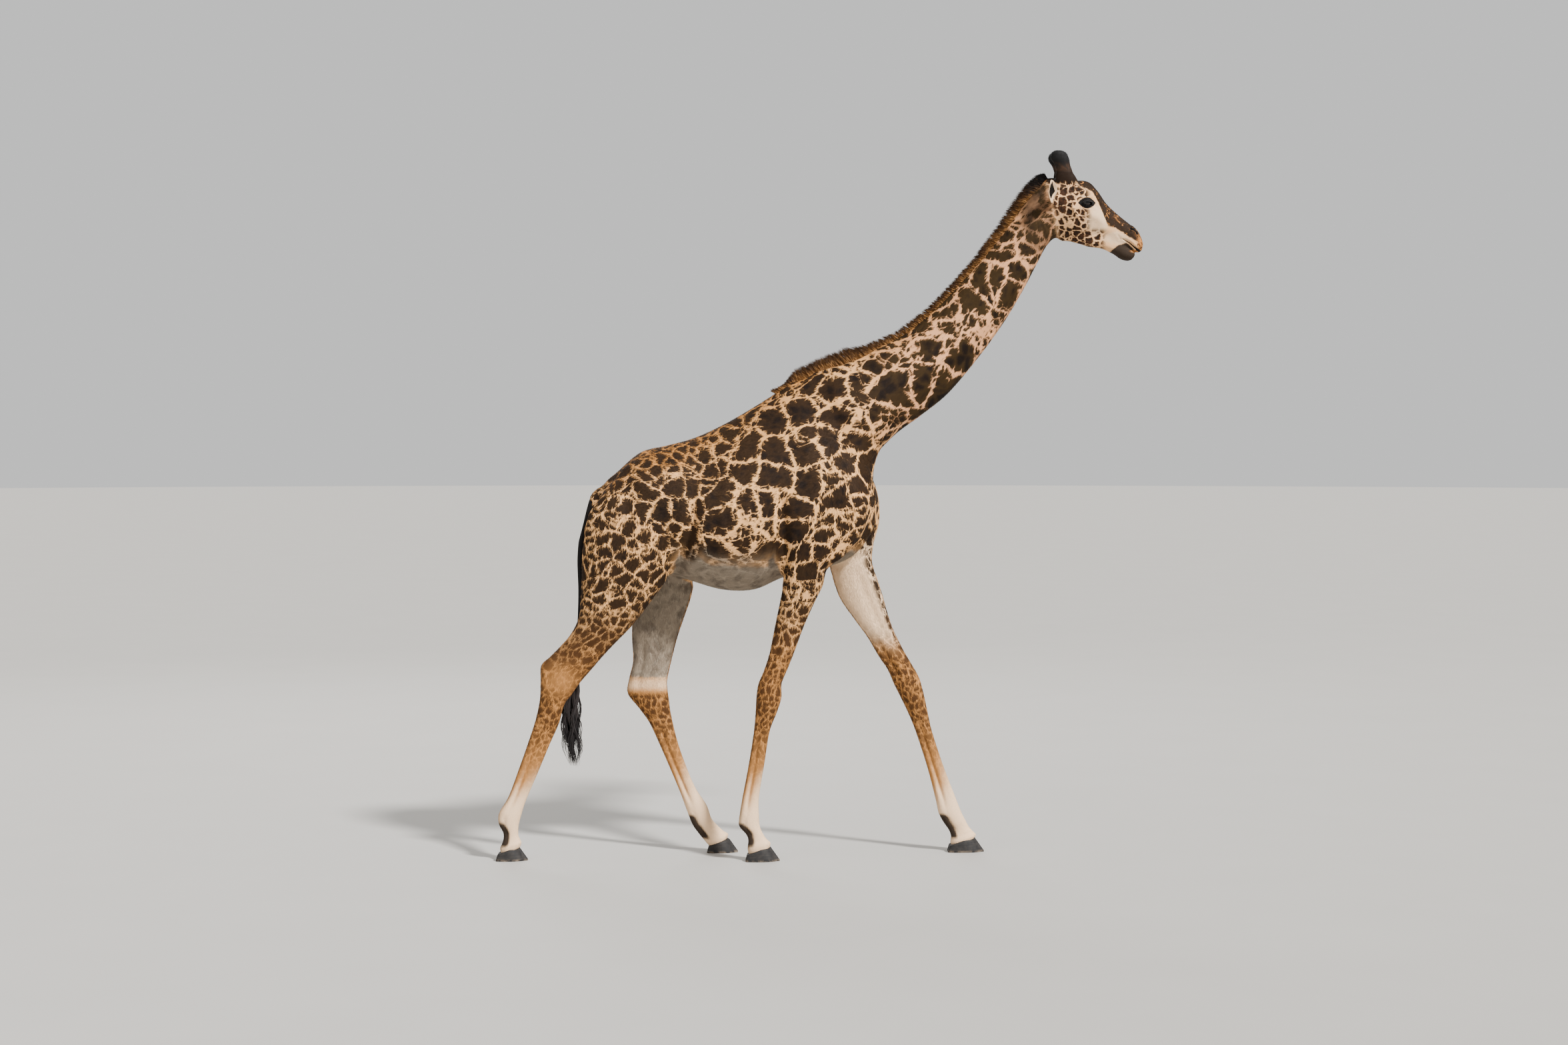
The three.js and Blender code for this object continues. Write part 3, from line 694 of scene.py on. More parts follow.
@dataclass(frozen=True)
class Leg:
    """One leg, from under the shoulder or the hip down into its hoof."""

    name: str
    side: Side
    track: float
    plot: Plot
    shoulder: Sections
    limb: Sections

    def sections(self) -> Sections:
        """The leg on its own side, which drifts out to its track by the knee or hock.

        Returns:
            The sections, from the top down.
        """
        knee = 0.4 * (len(self.limb) - 1)
        start = self.shoulder[-1].y
        drift = [start + (self.track - start) * min(1.0, (k + 1) / knee) for k in range(len(self.limb))]
        down = [*on_side(tuple(replace(s, y=y) for s, y in zip(self.limb, drift)), self.side)]
        for k, (back, up) in ((-2, (0.012, 0.018)), (-1, (0.03, 0.036))):
            down[k] = replace(down[k], high=(down[k].high[0] - back, down[k].high[1] + up))
        return (*on_side(self.shoulder, self.side), *down)

    def reliefs(self) -> tuple[Fold, ...]:
        """The furrows down both faces of the leg, between its bone and its tendons.

        Returns:
            The folds.
        """
        sections = self.sections()
        count = len(sections)

        def line(first: int, last: int, share: float) -> Path:
            """A path at the same share of the leg's depth all the way.

            Args:
                first: The number of the first section.
                last: The number after that of the last one.
                share: How far the path is from the back of the leg.

            Returns:
                The path.
            """
            return tuple(
                tuple(lo + (hi - lo) * share for lo, hi in zip(s.low, s.high)) for s in sections[first:last]
            )

        where = {"sides": (self.side.value,), "band": (0.04, 0.3)}
        return (
            Fold(line(count - 10, count - 5, 0.38), 0.009, 0.011, **where),
            Fold(line(count - 10, count - 5, 0.18), -0.003, 0.01, **where),
            Fold(line(count - 15, count - 11, 0.26), 0.011, 0.018, **where),
            Fold(line(5, count - 13, 0.62), 0.009, 0.022, **where),
            Fold(line(count - 6, count - 2, 0.3), 0.006, 0.012, **where),
        )

    def grid(self) -> Grid:
        """The leg as one form."""
        return Loft(f"{self.name}_form", self.sections(), self.plot, 64, 0.011, 2.2).grid()


FORE_TRACK = 0.165
HIND_TRACK = 0.145
LEGS = (
    Leg(
        "front_right", Side.RIGHT, FORE_TRACK, Plot(0.01, 0.01, 0.22, 0.23),
        shoulder=cuts(
            (-0.13, 2.4, 0.03, 2.43, 0.04, 0.105), (-0.15, 2.22, 0.13, 2.27, 0.078, 0.138),
            (-0.165, 2.01, 0.225, 2.06, 0.1, 0.155), (-0.19, 1.8, 0.262, 1.85, 0.104, 0.162),
            (-0.222, 1.66, 0.15, 1.67, 0.092, 0.168),
        ),
        limb=cuts(
            (-0.212, 1.59, 0.045, 1.592, 0.082), (-0.205, 1.49, 0.014, 1.492, 0.071),
            (-0.22, 1.4, -0.03, 1.402, 0.062), (-0.247, 1.27, -0.086, 1.276, 0.054),
            (-0.275, 1.13, -0.138, 1.136, 0.048), (-0.305, 1.035, -0.174, 1.045, 0.048),
            (-0.337, 0.955, -0.207, 0.962, 0.053), (-0.347, 0.88, -0.209, 0.885, 0.054),
            (-0.352, 0.8, -0.233, 0.806, 0.047), (-0.362, 0.695, -0.272, 0.7, 0.035),
            (-0.39, 0.52, -0.3, 0.525, 0.032), (-0.424, 0.34, -0.329, 0.346, 0.034),
            (-0.441, 0.235, -0.329, 0.242, 0.045), (-0.44, 0.188, -0.325, 0.19, 0.046),
            (-0.404, 0.145, -0.308, 0.148, 0.038), (-0.392, 0.112, -0.288, 0.118, 0.039),
            (-0.396, 0.066, -0.256, 0.082, 0.05), (-0.388, 0.034, -0.24, 0.04, 0.046),
        ),
    ),
    Leg(
        "front_left", Side.LEFT, FORE_TRACK, Plot(0.25, 0.01, 0.22, 0.23),
        shoulder=cuts(
            (-0.115, 2.4, 0.05, 2.43, 0.04, 0.105), (-0.12, 2.22, 0.17, 2.27, 0.078, 0.138),
            (-0.105, 2.01, 0.295, 2.06, 0.1, 0.155), (-0.06, 1.8, 0.33, 1.86, 0.104, 0.162),
            (0.0, 1.67, 0.298, 1.7, 0.092, 0.168),
        ),
        limb=cuts(
            (0.05, 1.586, 0.292, 1.602, 0.082), (0.082, 1.48, 0.322, 1.502, 0.071),
            (0.119, 1.39, 0.348, 1.424, 0.062), (0.193, 1.285, 0.376, 1.325, 0.055),
            (0.262, 1.19, 0.408, 1.232, 0.049), (0.322, 1.088, 0.458, 1.13, 0.047),
            (0.374, 1.01, 0.504, 1.05, 0.048), (0.412, 0.925, 0.55, 0.968, 0.053),
            (0.452, 0.845, 0.576, 0.88, 0.052), (0.5, 0.742, 0.6, 0.772, 0.042),
            (0.538, 0.642, 0.624, 0.668, 0.034), (0.596, 0.46, 0.684, 0.486, 0.032),
            (0.64, 0.29, 0.748, 0.318, 0.036), (0.657, 0.215, 0.786, 0.222, 0.046),
            (0.684, 0.162, 0.808, 0.178, 0.045), (0.712, 0.122, 0.828, 0.14, 0.039),
            (0.726, 0.084, 0.852, 0.112, 0.041), (0.722, 0.052, 0.88, 0.078, 0.05),
            (0.732, 0.03, 0.886, 0.038, 0.046),
        ),
    ),
    Leg(
        "hind_right", Side.RIGHT, HIND_TRACK, Plot(0.49, 0.01, 0.22, 0.23),
        shoulder=cuts(
            (-1.13, 2.05, -0.9, 2.12, 0.06, 0.12), (-1.25, 1.88, -0.76, 1.985, 0.118, 0.138),
            (-1.284, 1.69, -0.726, 1.76, 0.13, 0.15), (-1.29, 1.52, -0.79, 1.59, 0.118, 0.158),
            (-1.296, 1.395, -0.89, 1.44, 0.098, 0.16),
        ),
        limb=cuts(
            (-1.308, 1.314, -1.014, 1.278, 0.082), (-1.35, 1.23, -1.108, 1.18, 0.07),
            (-1.404, 1.166, -1.175, 1.108, 0.061), (-1.464, 1.106, -1.24, 1.032, 0.055),
            (-1.51, 1.06, -1.302, 0.96, 0.053), (-1.514, 0.978, -1.347, 0.896, 0.05),
            (-1.518, 0.885, -1.384, 0.845, 0.044), (-1.54, 0.775, -1.412, 0.745, 0.035),
            (-1.582, 0.645, -1.466, 0.622, 0.032), (-1.632, 0.505, -1.524, 0.482, 0.032),
            (-1.69, 0.35, -1.59, 0.33, 0.035), (-1.742, 0.258, -1.618, 0.246, 0.045),
            (-1.744, 0.2, -1.632, 0.19, 0.045), (-1.72, 0.148, -1.634, 0.14, 0.038),
            (-1.722, 0.105, -1.624, 0.112, 0.04), (-1.738, 0.062, -1.606, 0.08, 0.05),
            (-1.73, 0.032, -1.594, 0.038, 0.046),
        ),
    ),
    Leg(
        "hind_left", Side.LEFT, HIND_TRACK, Plot(0.73, 0.01, 0.22, 0.23),
        shoulder=cuts(
            (-1.12, 2.05, -0.88, 2.12, 0.06, 0.12), (-1.235, 1.88, -0.725, 1.975, 0.118, 0.138),
            (-1.23, 1.69, -0.675, 1.74, 0.13, 0.15), (-1.14, 1.53, -0.68, 1.56, 0.118, 0.158),
            (-1.065, 1.405, -0.705, 1.42, 0.098, 0.16),
        ),
        limb=cuts(
            (-1.038, 1.29, -0.745, 1.3, 0.082), (-1.036, 1.18, -0.782, 1.19, 0.068),
            (-1.03, 1.06, -0.812, 1.075, 0.058), (-1.052, 0.96, -0.832, 0.99, 0.053),
            (-1.06, 0.88, -0.84, 0.935, 0.05), (-1.0, 0.8, -0.832, 0.865, 0.045),
            (-0.94, 0.715, -0.818, 0.765, 0.037), (-0.88, 0.585, -0.784, 0.622, 0.032),
            (-0.826, 0.46, -0.74, 0.492, 0.032), (-0.772, 0.33, -0.684, 0.358, 0.034),
            (-0.736, 0.232, -0.622, 0.262, 0.044), (-0.704, 0.152, -0.596, 0.19, 0.045),
            (-0.668, 0.1, -0.566, 0.152, 0.039), (-0.64, 0.066, -0.53, 0.118, 0.04),
            (-0.618, 0.04, -0.492, 0.084, 0.05), (-0.6, 0.026, -0.48, 0.04, 0.046),
        ),
    ),
)


# ---- the eyes
@dataclass(frozen=True)
class Eye:
    """A wet, dark eyeball with a bulging cornea, as wide as the frame's."""

    gaze: Point = (0.3, 1.0, 0.02)
    cornea: float = 0.0011
    rings: int = 56
    sides: int = 72

    def middle(self, side: Side) -> tuple[Array, float]:
        """The middle and the radius of the frame's eye on one side."""
        low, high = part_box(f"eye_{side.word}")
        return np.array((low + high) / 2), (high.z - low.z) / 2

    def axes(self, side: Side) -> Array:
        """One eye's own axes.

        Args:
            side: Which eye.

        Returns:
            The ways ahead, up and out from it, as the rows of a matrix.
        """
        out = unit(np.array(self.gaze) * (1, side.value, 1))
        ahead = unit(np.cross(out, (0, 0, 1))) * side.value
        return np.array([ahead, np.cross(ahead, out) * side.value, out])

    def build(self, side: Side) -> Object:
        """Makes one eyeball.

        Args:
            side: Which side it is on.

        Returns:
            The eyeball, with the place of each point as it looks out, in `look`.
        """
        middle, radius = self.middle(side)
        axes = self.axes(side)
        angle = np.linspace(0, np.pi, self.rings + 1)[1:-1, None, None]
        turn = np.linspace(0, 2 * np.pi, self.sides + 1)[None, :-1, None]
        reach = radius + self.cornea * (np.cos(np.minimum(angle * 2.4, np.pi)) + 1) / 2
        flat = np.sin(angle)
        look = np.concatenate([flat * np.cos(turn), flat * np.sin(turn), np.cos(angle) + 0 * turn], axis=2)
        ball = middle + (look @ axes) * reach
        grid = Grid(f"eyeball_{side.word}", ball, np.zeros_like(ball), Plot(0.0, 0.0, 1.0, 1.0), cap=(0.5,))
        made = grid.build()
        put_attribute(made.data, "look", (places_of(made.data) - middle) @ axes.T / radius)
        return made


@dataclass(frozen=True)
class Orbit:
    """How the skin lies over an eyeball and opens on it."""

    eye: Eye = Eye()
    half: Pair = (0.023, 0.0155)  # half the opening, along the face and across it
    tilt: float = 0.12
    flat_top: float = 1.18
    lid: float = 0.0027
    sunk: float = 0.0035
    melt: float = 0.005

    def around(self, points: Array, side: Side) -> tuple[Array, Array]:
        """Places as an eye sees them.

        Args:
            points: (n, 3) places.
            side: Which eye.

        Returns:
            (n, 3) distances ahead, up and out from its middle, and (n,) how many times the size of the
            opening each place is from its middle.
        """
        seen = (points - self.eye.middle(side)[0]) @ self.eye.axes(side).T
        ahead = seen[:, 0] * math.cos(self.tilt) - seen[:, 1] * math.sin(self.tilt)
        up = seen[:, 0] * math.sin(self.tilt) + seen[:, 1] * math.cos(self.tilt)
        up = np.where(up > 0, up * self.flat_top, up)
        far = np.hypot(ahead / self.half[0], up / self.half[1])
        far = np.where((seen[:, 2] > -0.01) & (np.linalg.norm(seen, axis=1) < 0.09), far, 99.0)
        return seen, far

    def press(self, points: Array) -> Array:
        """Lays the skin over both eyeballs and turns it in at their openings.

        Args:
            points: (n, 3) places on the skin.

        Returns:
            (n, 3) places.
        """
        points = points.copy()
        for side in Side:
            seen, far = self.around(points, side)
            radius = self.eye.middle(side)[1]
            over = np.sqrt(np.maximum((radius + self.lid) ** 2 - (seen[:, :2] ** 2).sum(axis=1), 0.0))
            gap = (over - seen[:, 2]) / self.melt
            share = np.clip(0.5 + 0.5 * gap, 0, 1)
            lid = seen[:, 2] * (1 - share) + over * share + self.melt * share * (1 - share)
            under = np.sqrt(np.maximum((radius - self.sunk) ** 2 - (seen[:, :2] ** 2).sum(axis=1), 0.0))
            opened = fade(far, 1.08, 0.94)
            out = lid * (1 - opened) + under * opened
            near = far < 6.0
            seen[near, 2] = out[near]
            points[near] = (seen @ self.eye.axes(side) + self.eye.middle(side)[0])[near]
        return points

    def rim(self, side: Side, turn: Array, times: float) -> Array:
        """Places on the margin of the lids.

        Args:
            side: Which eye.
            turn: (n,) angles round the opening, with 0 ahead and pi / 2 at its top.
            times: How many times the size of the opening.

        Returns:
            (n, 3) places.
        """
        ahead = np.cos(turn) * self.half[0] * times
        up = np.sin(turn) * self.half[1] * times
        up = np.where(up > 0, up / self.flat_top, up)
        middle, radius = self.eye.middle(side)
        a = ahead * math.cos(self.tilt) + up * math.sin(self.tilt)
        b = up * math.cos(self.tilt) - ahead * math.sin(self.tilt)
        c = np.sqrt(np.maximum((radius + self.lid) ** 2 - a**2 - b**2, 0.0))
        return np.stack([a, b, c], axis=1) @ self.eye.axes(side) + middle


FACE: tuple[Relief, ...] = (
    Fold(((1.398, 3.556), (1.412, 3.578), (1.436, 3.587), (1.46, 3.579), (1.476, 3.56)), 0.0035, 0.0055),
    Fold(((1.402, 3.545), (1.418, 3.53), (1.44, 3.525), (1.464, 3.535)), 0.0025, 0.006),
    Fold(((1.372, 3.588), (1.402, 3.604), (1.44, 3.607), (1.478, 3.59), (1.498, 3.566)), -0.007, 0.014),
    Fold(((1.472, 3.552), (1.492, 3.54), (1.508, 3.52)), 0.004, 0.007),  # the tear line
    Fold(((1.33, 3.56), (1.38, 3.528), (1.44, 3.505), (1.5, 3.475), (1.54, 3.44)), -0.007, 0.02),
    Swell((1.345, 0.09, 3.615), (0.045, 0.05, 0.035), -0.007),  # temple
    Swell((1.35, 0.09, 3.45), (0.075, 0.06, 0.065), 0.008),  # cheek
    Swell((1.455, 0.0, 3.672), (0.055, 0.045, 0.035), 0.006),  # forehead boss
    Fold(((1.45, 3.4), (1.53, 3.392), (1.6, 3.385)), 0.004, 0.018),
    Fold(((1.262, 3.42), (1.3, 3.372), (1.36, 3.35)), -0.004, 0.016),  # edge of the jaw
    Fold(((1.208, 3.52), (1.222, 3.45), (1.246, 3.39)), 0.004, 0.007),  # wrinkles of the throat
    Fold(((1.228, 3.505), (1.243, 3.446), (1.262, 3.395)), 0.003, 0.006),
    Fold(((1.186, 3.5), (1.2, 3.44), (1.222, 3.372)), 0.003, 0.007),
    Fold(((1.68, 3.424), (1.697, 3.421), (1.713, 3.408), (1.722, 3.392)), 0.02, 0.0055),  # nostril
    Fold(((1.672, 3.436), (1.7, 3.434), (1.724, 3.417), (1.733, 3.394)), -0.005, 0.007),
    Fold(((1.678, 3.411), (1.696, 3.406), (1.708, 3.393)), -0.005, 0.006),
    Fold(((1.632, 3.368), (1.65, 3.362), (1.672, 3.348), (1.698, 3.325), (1.722, 3.304)), 0.009, 0.005),
    Fold(((1.655, 3.374), (1.68, 3.36), (1.708, 3.334), (1.735, 3.312)), -0.003, 0.008),  # upper lip
    Fold(((1.606, 3.392), (1.622, 3.376), (1.628, 3.356)), 0.002, 0.006),  # corner of the mouth
    Swell((1.69, 0.05, 3.395), (0.035, 0.03, 0.035), 0.004),
    Swell((1.668, 0.0, 3.262), (0.035, 0.04, 0.03), 0.004),  # chin
)


# ---- the skin
@dataclass(frozen=True)
class Ease:
    """A round place where the skin is smoothed over, such as a blunt end."""

    centre: Point
    reach: float


@dataclass(frozen=True)
class Skin:
    """One skin over the whole body: the forms joined, their joints rounded over, then folds pressed in."""

    torso: Torso = Torso()
    head: HeadForm = HeadForm()
    legs: tuple[Leg, ...] = LEGS
    seams: tuple[tuple[str, float], ...] = (  # how far round its joints each form is rounded over
        ("trunk_form", 0.11), ("neck_form", 0.11), ("dock_form", 0.03), ("skull_form", 0.035),
        ("jaw_form", 0.035), ("horn_root_left", 0.028), ("horn_root_right", 0.028),
        ("ear_left_form", 0.012), ("ear_right_form", 0.012),
    )
    leg_seam: float = 0.085
    lips: Pair = (1.63, 1.66)  # where along X the seam of the jaw turns into the parting of the lips
    blunt: tuple[Ease, ...] = (
        Ease((1.757, 0.0, 3.312), 0.032), Ease((1.712, 0.0, 3.28), 0.03), Ease((0.3, 0.0, 1.99), 0.16),
        Ease((-1.22, 0.0, 1.84), 0.16), Ease((1.2, 0.0, 3.6), 0.11), Ease((1.35, 0.0, 3.352), 0.035),
        Ease((1.668, 0.0, 3.322), 0.036),
    )
    rounds: int = 70
    orbit: Orbit = Orbit()
    fine: tuple[Ease, ...] = (
        Ease((1.44, 0.1, 3.557), 0.055), Ease((1.44, 0.1, 3.557), 0.036), Ease((1.69, 0.05, 3.37), 0.065),
    )

    def build(self) -> Object:
        """Makes the skin.

        Returns:
            The skin object, with its lie, its unwrap and how much of each point is leg, as `limb`.
        """
        grids = [*self.torso.grids(), *self.head.grids(), *(leg.grid() for leg in self.legs)]
        skin = joined("skin", [grid.build() for grid in grids])
        self.soften(skin.data, [grid.name for grid in grids])
        self.tell_limbs(skin.data, len(grids) - len(self.legs))
        self.sculpt(skin.data)
        log.info("skin: %d vertices, %d faces", len(skin.data.vertices), len(skin.data.polygons))
        return skin

    def soften(self, mesh: Mesh, names: list[str]) -> None:
        """Rounds over the joints between the forms, and the blunt ends.

        Args:
            mesh: The joined forms.
            names: The forms' names, in the order of their numbers.
        """
        points = places_of(mesh)
        reaches = np.array([dict(self.seams).get(name, self.leg_seam) for name in names])
        corner_form, corners = self.corner_forms(mesh)
        low = np.full(len(points), np.inf)
        np.minimum.at(low, corners, corner_form)
        high = np.full(len(points), -np.inf)
        np.maximum.at(high, corners, corner_form)
        seam = np.flatnonzero(low != high)
        reach = np.minimum(reaches[low[seam].astype(int)], reaches[high[seam].astype(int)])
        jaw = names.index("jaw_form")
        on_jaw = (low[seam] == jaw) | (high[seam] == jaw)
        reach = np.where(on_jaw, reach * fade(points[seam, 0], self.lips[1], self.lips[0]) + 0.002, reach)
        weight = self.near(points, points[seam], reach)
        for ease in self.blunt:
            far = np.linalg.norm(points - ease.centre, axis=1)
            weight = np.maximum(weight, fade(far, ease.reach, 0.4 * ease.reach))
        put_places(mesh, Relaxer(mesh).run(points, weight, self.rounds))

    def tell_limbs(self, mesh: Mesh, first: int) -> None:
        """Keeps how much of each point belongs to a leg, as `limb`.

        Args:
            mesh: The skin.
            first: The number of the first leg's form.
        """
        corner_form, corners = self.corner_forms(mesh)
        limb = np.zeros(len(mesh.vertices))
        np.maximum.at(limb, corners, (corner_form >= first) * 1.0)
        put_attribute(mesh, "limb", Relaxer(mesh).run(limb[:, None], np.ones(len(limb)), 6)[:, 0])

    @staticmethod
    def corner_forms(mesh: Mesh) -> tuple[Array, Array]:
        """The form's number and the vertex of every face corner."""
        forms = np.repeat(attribute_of(mesh, "form"), read(mesh.polygons, "loop_total"))
        return forms, read(mesh.loops, "vertex_index")

    @staticmethod
    def near(points: Array, seeds: Array, reach: Array) -> Array:
        """How much each point belongs to the surroundings of seeds that reach different distances.

        Args:
            points: (n, 3) places.
            seeds: (k, 3) places.
            reach: (k,) distances at which the weight has fallen to 0.

        Returns:
            (n,) weights from 0 to 1.
        """
        weight = np.zeros(len(points))
        for size in np.unique(np.round(reach, 3)):
            group = seeds[np.abs(reach - size) < 6e-4]
            tree = KDTree(len(group))
            for number, seed in enumerate(group):
                tree.insert(seed, number)
            tree.balance()
            edge = size + 1e-4
            inside = np.all((points > group.min(0) - edge) & (points < group.max(0) + edge), axis=1)
            chosen = np.flatnonzero(inside & (weight < 1))
            far = np.array([tree.find(points[k])[2] for k in chosen])
            weight[chosen] = np.maximum(weight[chosen], fade(far, edge, 0.35 * edge))
        return weight

    def sculpt(self, mesh: Mesh) -> None:
        """Presses the folds and swellings of the body into the skin, and opens it at the eyes.

        Args:
            mesh: The skin.
        """
        for place in self.fine:
            refine(mesh, place)
        reliefs = (*MUSCLES, *(relief for leg in self.legs for relief in leg.reliefs()))
        points = press(places_of(mesh), normals_of(mesh), reliefs)
        put_places(mesh, points)
        on_head = points[:, 2:] > HEAD_FLOOR
        points = np.where(on_head, press(points, normals_of(mesh), FACE), points)
        put_places(mesh, self.orbit.press(points))


def refine(mesh: Mesh, place: Ease) -> None:
    """Makes the mesh twice as fine round a place and its mirror image.

    Args:
        mesh: The mesh.
        place: The place, and how far it reaches.
    """
    near = np.linalg.norm(folded_over(places_of(mesh)) - place.centre, axis=1) < place.reach
    grown = bmesh.new()
    grown.from_mesh(mesh)
    edges = [e for e in grown.edges if near[e.verts[0].index] and near[e.verts[1].index]]
    bmesh.ops.subdivide_edges(grown, edges=edges, cuts=1, use_grid_fill=True)
    grown.to_mesh(mesh)
    grown.free()
    mesh.shade_smooth()


def joined(name: str, forms: list[Object]) -> Object:
    """Joins closed forms into one closed mesh and removes them.

    Args:
        name: The new object's name.
        forms: The forms, of which the first takes in the others.

    Returns:
        The new object. Its faces keep the number of the form that they came from, as `form`.
    """
    for number, form in enumerate(forms):
        count = len(form.data.polygons)
        put_attribute(form.data, "form", np.full(count, float(number)), "FACE")
    whole, *rest = forms
    for form in rest:
        union = whole.modifiers.new("union", "BOOLEAN")
        union.operation = "UNION"
        union.solver = "MANIFOLD"
        union.object = form
    view = bpy.context.evaluated_depsgraph_get()
    solved = whole.evaluated_get(view)
    mesh = bpy.data.meshes.new_from_object(solved, preserve_all_data_layers=True, depsgraph=view)
    mesh.name = name
    for form in forms:
        bpy.data.objects.remove(form)
    return link(name, mesh)


# ---- shader graphs
Value = float | int
Colour = tuple[float, float, float]
Settings = dict[str, object]


def operator(operation: str, flipped: bool = False) -> Callable[["Socket", "Socket | Value"], "Socket"]:
    """Makes a method of Socket from one operation of the Math node.

    Args:
        operation: The node's operation.
        flipped: Whether the other value comes first, as in 1 - mask.

    Returns:
        The method.
    """

    def applied(this: "Socket", other: "Socket | Value") -> "Socket":
        """Both values put through one Math node."""
        first, second = (other, this) if flipped else (this, other)
        return this.graph.node("Math", {"operation": operation}, {0: first, 1: second})

    return applied


class Socket:
    """An output in a shader graph. Expressions on value sockets add the Math nodes they need."""

    def __init__(self, graph: "Graph", link: bpy.types.NodeSocket) -> None:
        """Wraps the output `link` of a node in `graph`."""
        self.graph = graph
        self.link = link

    def math(self, operation: str, *others: "Socket | Value") -> "Socket":
        """This value and any others put through one Math node."""
        return self.graph.node("Math", {"operation": operation}, dict(enumerate((self, *others))))

    def part(self, axis: int) -> "Socket":
        """This vector's number along one axis."""
        return self.graph.node("SeparateXYZ", None, {0: self}, axis)

    __add__ = __radd__ = operator("ADD")
    __sub__, __rsub__ = operator("SUBTRACT"), operator("SUBTRACT", flipped=True)
    __mul__ = __rmul__ = operator("MULTIPLY")
    __truediv__, __rtruediv__ = operator("DIVIDE"), operator("DIVIDE", flipped=True)
    __rpow__ = operator("POWER", flipped=True)
    least, most = operator("MINIMUM"), operator("MAXIMUM")

    def ramp(self, low: "Socket | Value", high: "Socket | Value") -> "Socket":
        """Rises smoothly from 0 where this value is low to 1 where it is high, which may be the lower."""
        inputs = {"Value": self, "From Min": low, "From Max": high}
        return self.graph.node("MapRange", {"interpolation_type": "SMOOTHSTEP"}, inputs)

    def scaled(self, by: "Socket | Value | Point") -> "Socket":
        """This vector times a number, or times one number for each axis."""
        operation, key = ("MULTIPLY", 1) if isinstance(by, tuple) else ("SCALE", "Scale")
        return self.graph.node("VectorMath", {"operation": operation}, {0: self, key: by})

    def shifted(self, by: "Socket | Point") -> "Socket":
        """This vector plus another."""
        return self.graph.node("VectorMath", {"operation": "ADD"}, {0: self, 1: by})


class Graph:
    """One material, built node by node."""

    def __init__(self, name: str) -> None:
        """Starts an empty material.

        Args:
            name: The material's name.
        """
        self.material = bpy.data.materials.new(name)
        self.material.use_nodes = True
        self.tree = self.material.node_tree
        self.tree.nodes.clear()

    def node(
        self, kind: str, settings: Settings | None = None, inputs: dict | None = None, out: int | str = 0
    ) -> Socket:
        """Adds a node.

        Args:
            kind: The node's type, without ShaderNode before it.
            settings: Its properties, set before its inputs.
            inputs: Values or sockets for its inputs, by name or number.
            out: Which of its outputs to give back.

        Returns:
            That output.
        """
        made = self.tree.nodes.new(f"ShaderNode{kind}")
        for name, value in (settings or {}).items():
            setattr(made, name, value)
        for name, value in (inputs or {}).items():
            if isinstance(value, Socket):
                self.tree.links.new(value.link, made.inputs[name])
            else:
                made.inputs[name].default_value = value
        return Socket(self, made.outputs[out])

    def stored(self, name: str) -> Socket:
        """A number kept on the mesh."""
        return self.node("Attribute", {"attribute_name": name}, out="Fac")

    def stored_place(self, name: str) -> Socket:
        """A place or direction kept on the mesh."""
        return self.node("Attribute", {"attribute_name": name}, out="Vector")

    def noise(self, where: Socket, scale: float, detail: float = 2.0, out: str = "Fac") -> Socket:
        """Cloudy noise, from 0 to 1."""
        inputs = {"Vector": where, "Scale": scale, "Detail": detail, "Roughness": 0.55}
        return self.node("TexNoise", {"normalize": True}, inputs, out=out)

    def wobble(self, where: Socket, scale: float, reach: float, detail: float = 1.0) -> Socket:
        """The place moved about by up to half its reach, by noise of the given scale."""
        return where.shifted(self.noise(where, scale, detail, "Color").shifted((-0.5,) * 3).scaled(reach))

    def cells(self, where: Socket, feature: str, out: str = "Distance") -> Socket:
        """Random cells of size 1: how far it is to their edge or middle, or a colour for each."""
        inputs = {"Vector": where, "Scale": 1.0, "Randomness": 0.85}
        return self.node("TexVoronoi", {"feature": feature, "voronoi_dimensions": "3D"}, inputs, out)

    def mix(self, share: "Socket | Value", first: "Socket | Colour", second: "Socket | Colour") -> Socket:
        """A colour that goes from the first to the second as share goes from 0 to 1."""
        first, second = (end if isinstance(end, Socket) else (*end, 1.0) for end in (first, second))
        return self.node("Mix", {"data_type": "RGBA"}, {0: share, 6: first, 7: second}, out=2)

    def toned(self, colour: "Socket | Colour", tone: Socket) -> Socket:
        """A colour made darker or lighter by a tone, which is 1 where it stays."""
        colour = colour if isinstance(colour, Socket) else (*colour, 1.0)
        return self.node("HueSaturation", None, {"Value": tone, "Color": colour})

    def bump(self, height: Socket, strength: float, depth: float) -> Socket:
        """A bumped normal from a height, of a depth in metres."""
        return self.node("Bump", None, {"Height": height, "Strength": strength, "Distance": depth})

    def finish(self, **sockets: "Socket | Value | Colour") -> Material:
        """Ends the graph in a Principled shader.

        Args:
            sockets: Its inputs, with _ for each space in their names.

        Returns:
            The material.
        """
        inputs = {name.replace("_", " "): value for name, value in sockets.items()}
        inputs = {k: (*v, 1.0) if isinstance(v, tuple) else v for k, v in inputs.items()}
        shader = self.node("BsdfPrincipled", None, inputs)
        output = self.tree.nodes.new("ShaderNodeOutputMaterial")
        self.tree.links.new(shader.link, output.inputs["Surface"])
        return self.material


